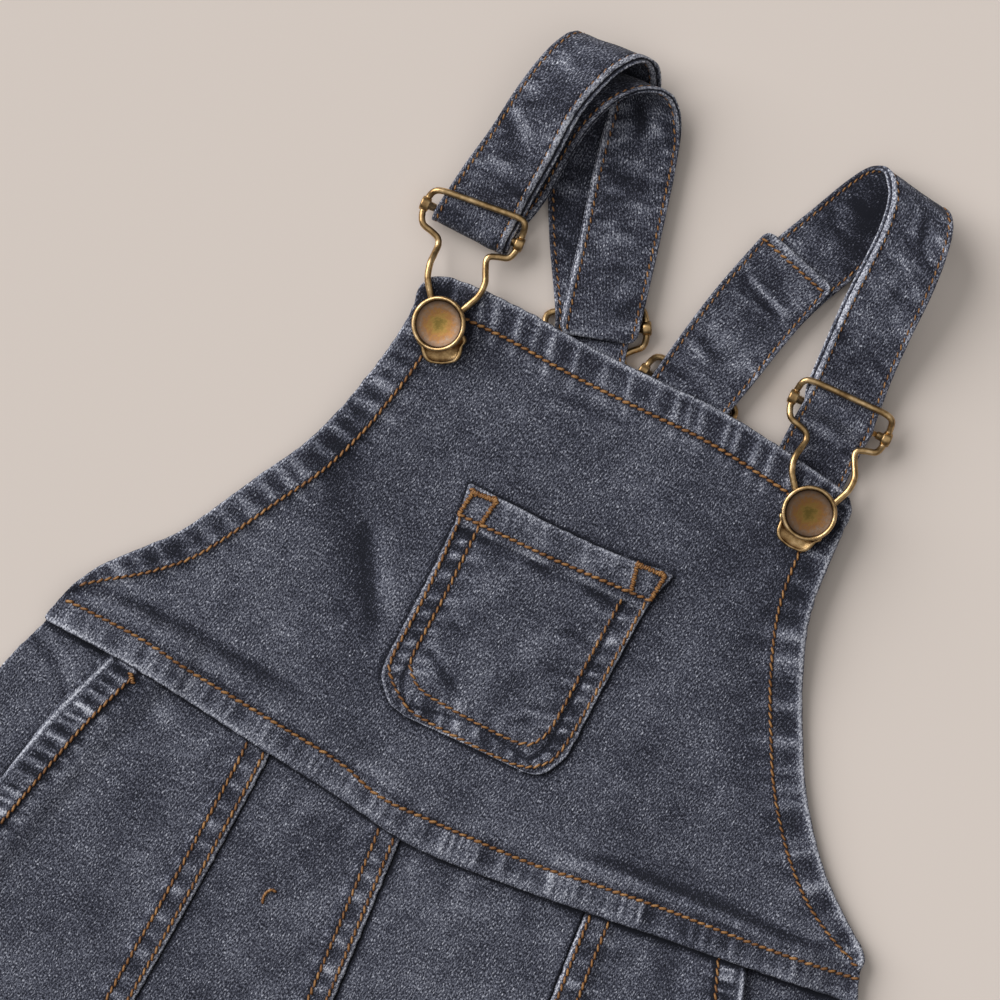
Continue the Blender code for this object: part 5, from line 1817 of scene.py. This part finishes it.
# Bar tacks of the chest pocket
POCKET_TACKS = (
    ((-34.6, 88.8), (-33.4, 97), (-25.4, 97.6), (-26.8, 88.8)),
    ((-33.6, 97.2), (-25.4, 97.8)),
    ((26.4, 89.4), (24.4, 98.8)),
    ((24.2, 98.6), (34.2, 98.8), (33.2, 89.6)),
    ((23.6, 99.2), (26.4, 98)),
    ((32.4, 99.4), (34.8, 98.2)),
    ((-34.2, 97.8), (-31.6, 96.4)),
    ((-26.6, 98.6), (-24.8, 96.8)),
    ((-35, 89.6), (-33.6, 88.2)),
)
POCKET_HEM_STITCH = ((-35, 88.7), (0, 88.5), (34, 89.6))
STRAY_THREAD = ((-39, -52.3), (-39.5, -50.4), (-39.1, -48.3), (-37.6, -46.9), (-36.1, -47.7))
MOUTH_TACKS = (((-109, -3), (-106.8, -5.6)), ((104.3, -3), (102.1, -5.6)))
FOOT_SPAN = np.linspace(36.0, 152.0, 30)


def foot_line(side):
    """The stitches of a leg's hem."""
    return straight(*[(side * x, HEM_Y + LEG_HEM) for x in FOOT_SPAN])


def waist_line(x, nominal):
    """A line down the front from the bib's lip."""
    return Line(np.stack([x, waist_y(x, nominal)], 1), step=0)


def princess(side, offset):
    heights = np.linspace(5.0, HEM_Y + 3.0, 160)
    return waist_line(side * (read(LEG_ROWS, heights, 3) + offset), heights)


def centre_stitch(offset):
    heights = np.linspace(-10.0, CROTCH_Y + 6.0, 60)
    return waist_line(centre_x(heights) - offset, heights)


def stitch_bib():
    seat = Seat(bib)
    top = TOP_LINE.beside(HEM_WIDTH)
    bold = [run_of(Line(WAIST_STITCH), seat, 1.0), run_of(top, seat, 8.0, top.length - 8.0)]
    sew("bib_stitches_bold", bold, radius=0.50).parent = bib
    left, right = (ARMHOLE[side].beside(ARMHOLE_HEM[side]) for side in (-1, 1))
    right = Line(np.concatenate([[ARMHOLE_END], right.points]), step=0)
    runs = [run_of(left, seat, 10.0), run_of(right, seat, 1.0, right.length - 10.0)]
    sew("bib_stitches", runs, radius=0.40).parent = bib


def stitch_pocket():
    seat = Seat(pocket)
    runs = [run_of(Line(line), seat) for line in (POCKET_OUTER, POCKET_INNER)]
    sew("pocket_stitches", runs).parent = pocket
    sew("pocket_stitches_bold", [run_of(straight(*POCKET_HEM_STITCH), seat)], radius=0.52).parent = pocket
    sew("pocket_tacks", [bar_tack(line, seat) for line in POCKET_TACKS], 1.9, 0.42).parent = pocket


def stitch_fronts():
    seat = Seat(*fronts.values())
    runs = []
    for side in (-1, 1):
        runs += [run_of(princess(side, offset), seat, 14.5) for offset in (2.0, 8.3)]
        runs.append(run_of(mouth_line(side, MOUTH_HEM[side], 1), seat, 1.0))
        runs.append(run_of(foot_line(side), seat))
    runs += [run_of(centre_stitch(offset), seat) for offset in (2.2, 7.8)]
    sew("trouser_stitches", runs).parent = fronts["side", -1]
    sew("mouth_tacks", [bar_tack(line, seat) for line in MOUTH_TACKS], 1.9, 0.42).parent = fronts["side", -1]
    stray = run_of(Line(STRAY_THREAD, step=0.8), seat, pitch=0.9)
    sew("stray_thread", [stray], 1.7, 0.46).parent = fronts["centre", -1]


def stitch_back():
    seat = Seat(back_bib, *back_legs)
    lines = [straight((-138.0, 1.5), (142.0, 1.5))]
    lines += [straight((x, -10.0), (x, CROTCH_Y + 4.0)) for x in (2.2, 7.8)]
    lines += [foot_line(side) for side in (-1, 1)]
    sew("back_stitches", [run_of(line, seat, facing=-1) for line in lines]).parent = back_bib


stitch_bib()
stitch_pocket()
stitch_fronts()
stitch_back()
for buckle in BUCKLES:
    make_buckle(buckle)
    make_slider(buckle)
    make_button(buckle)
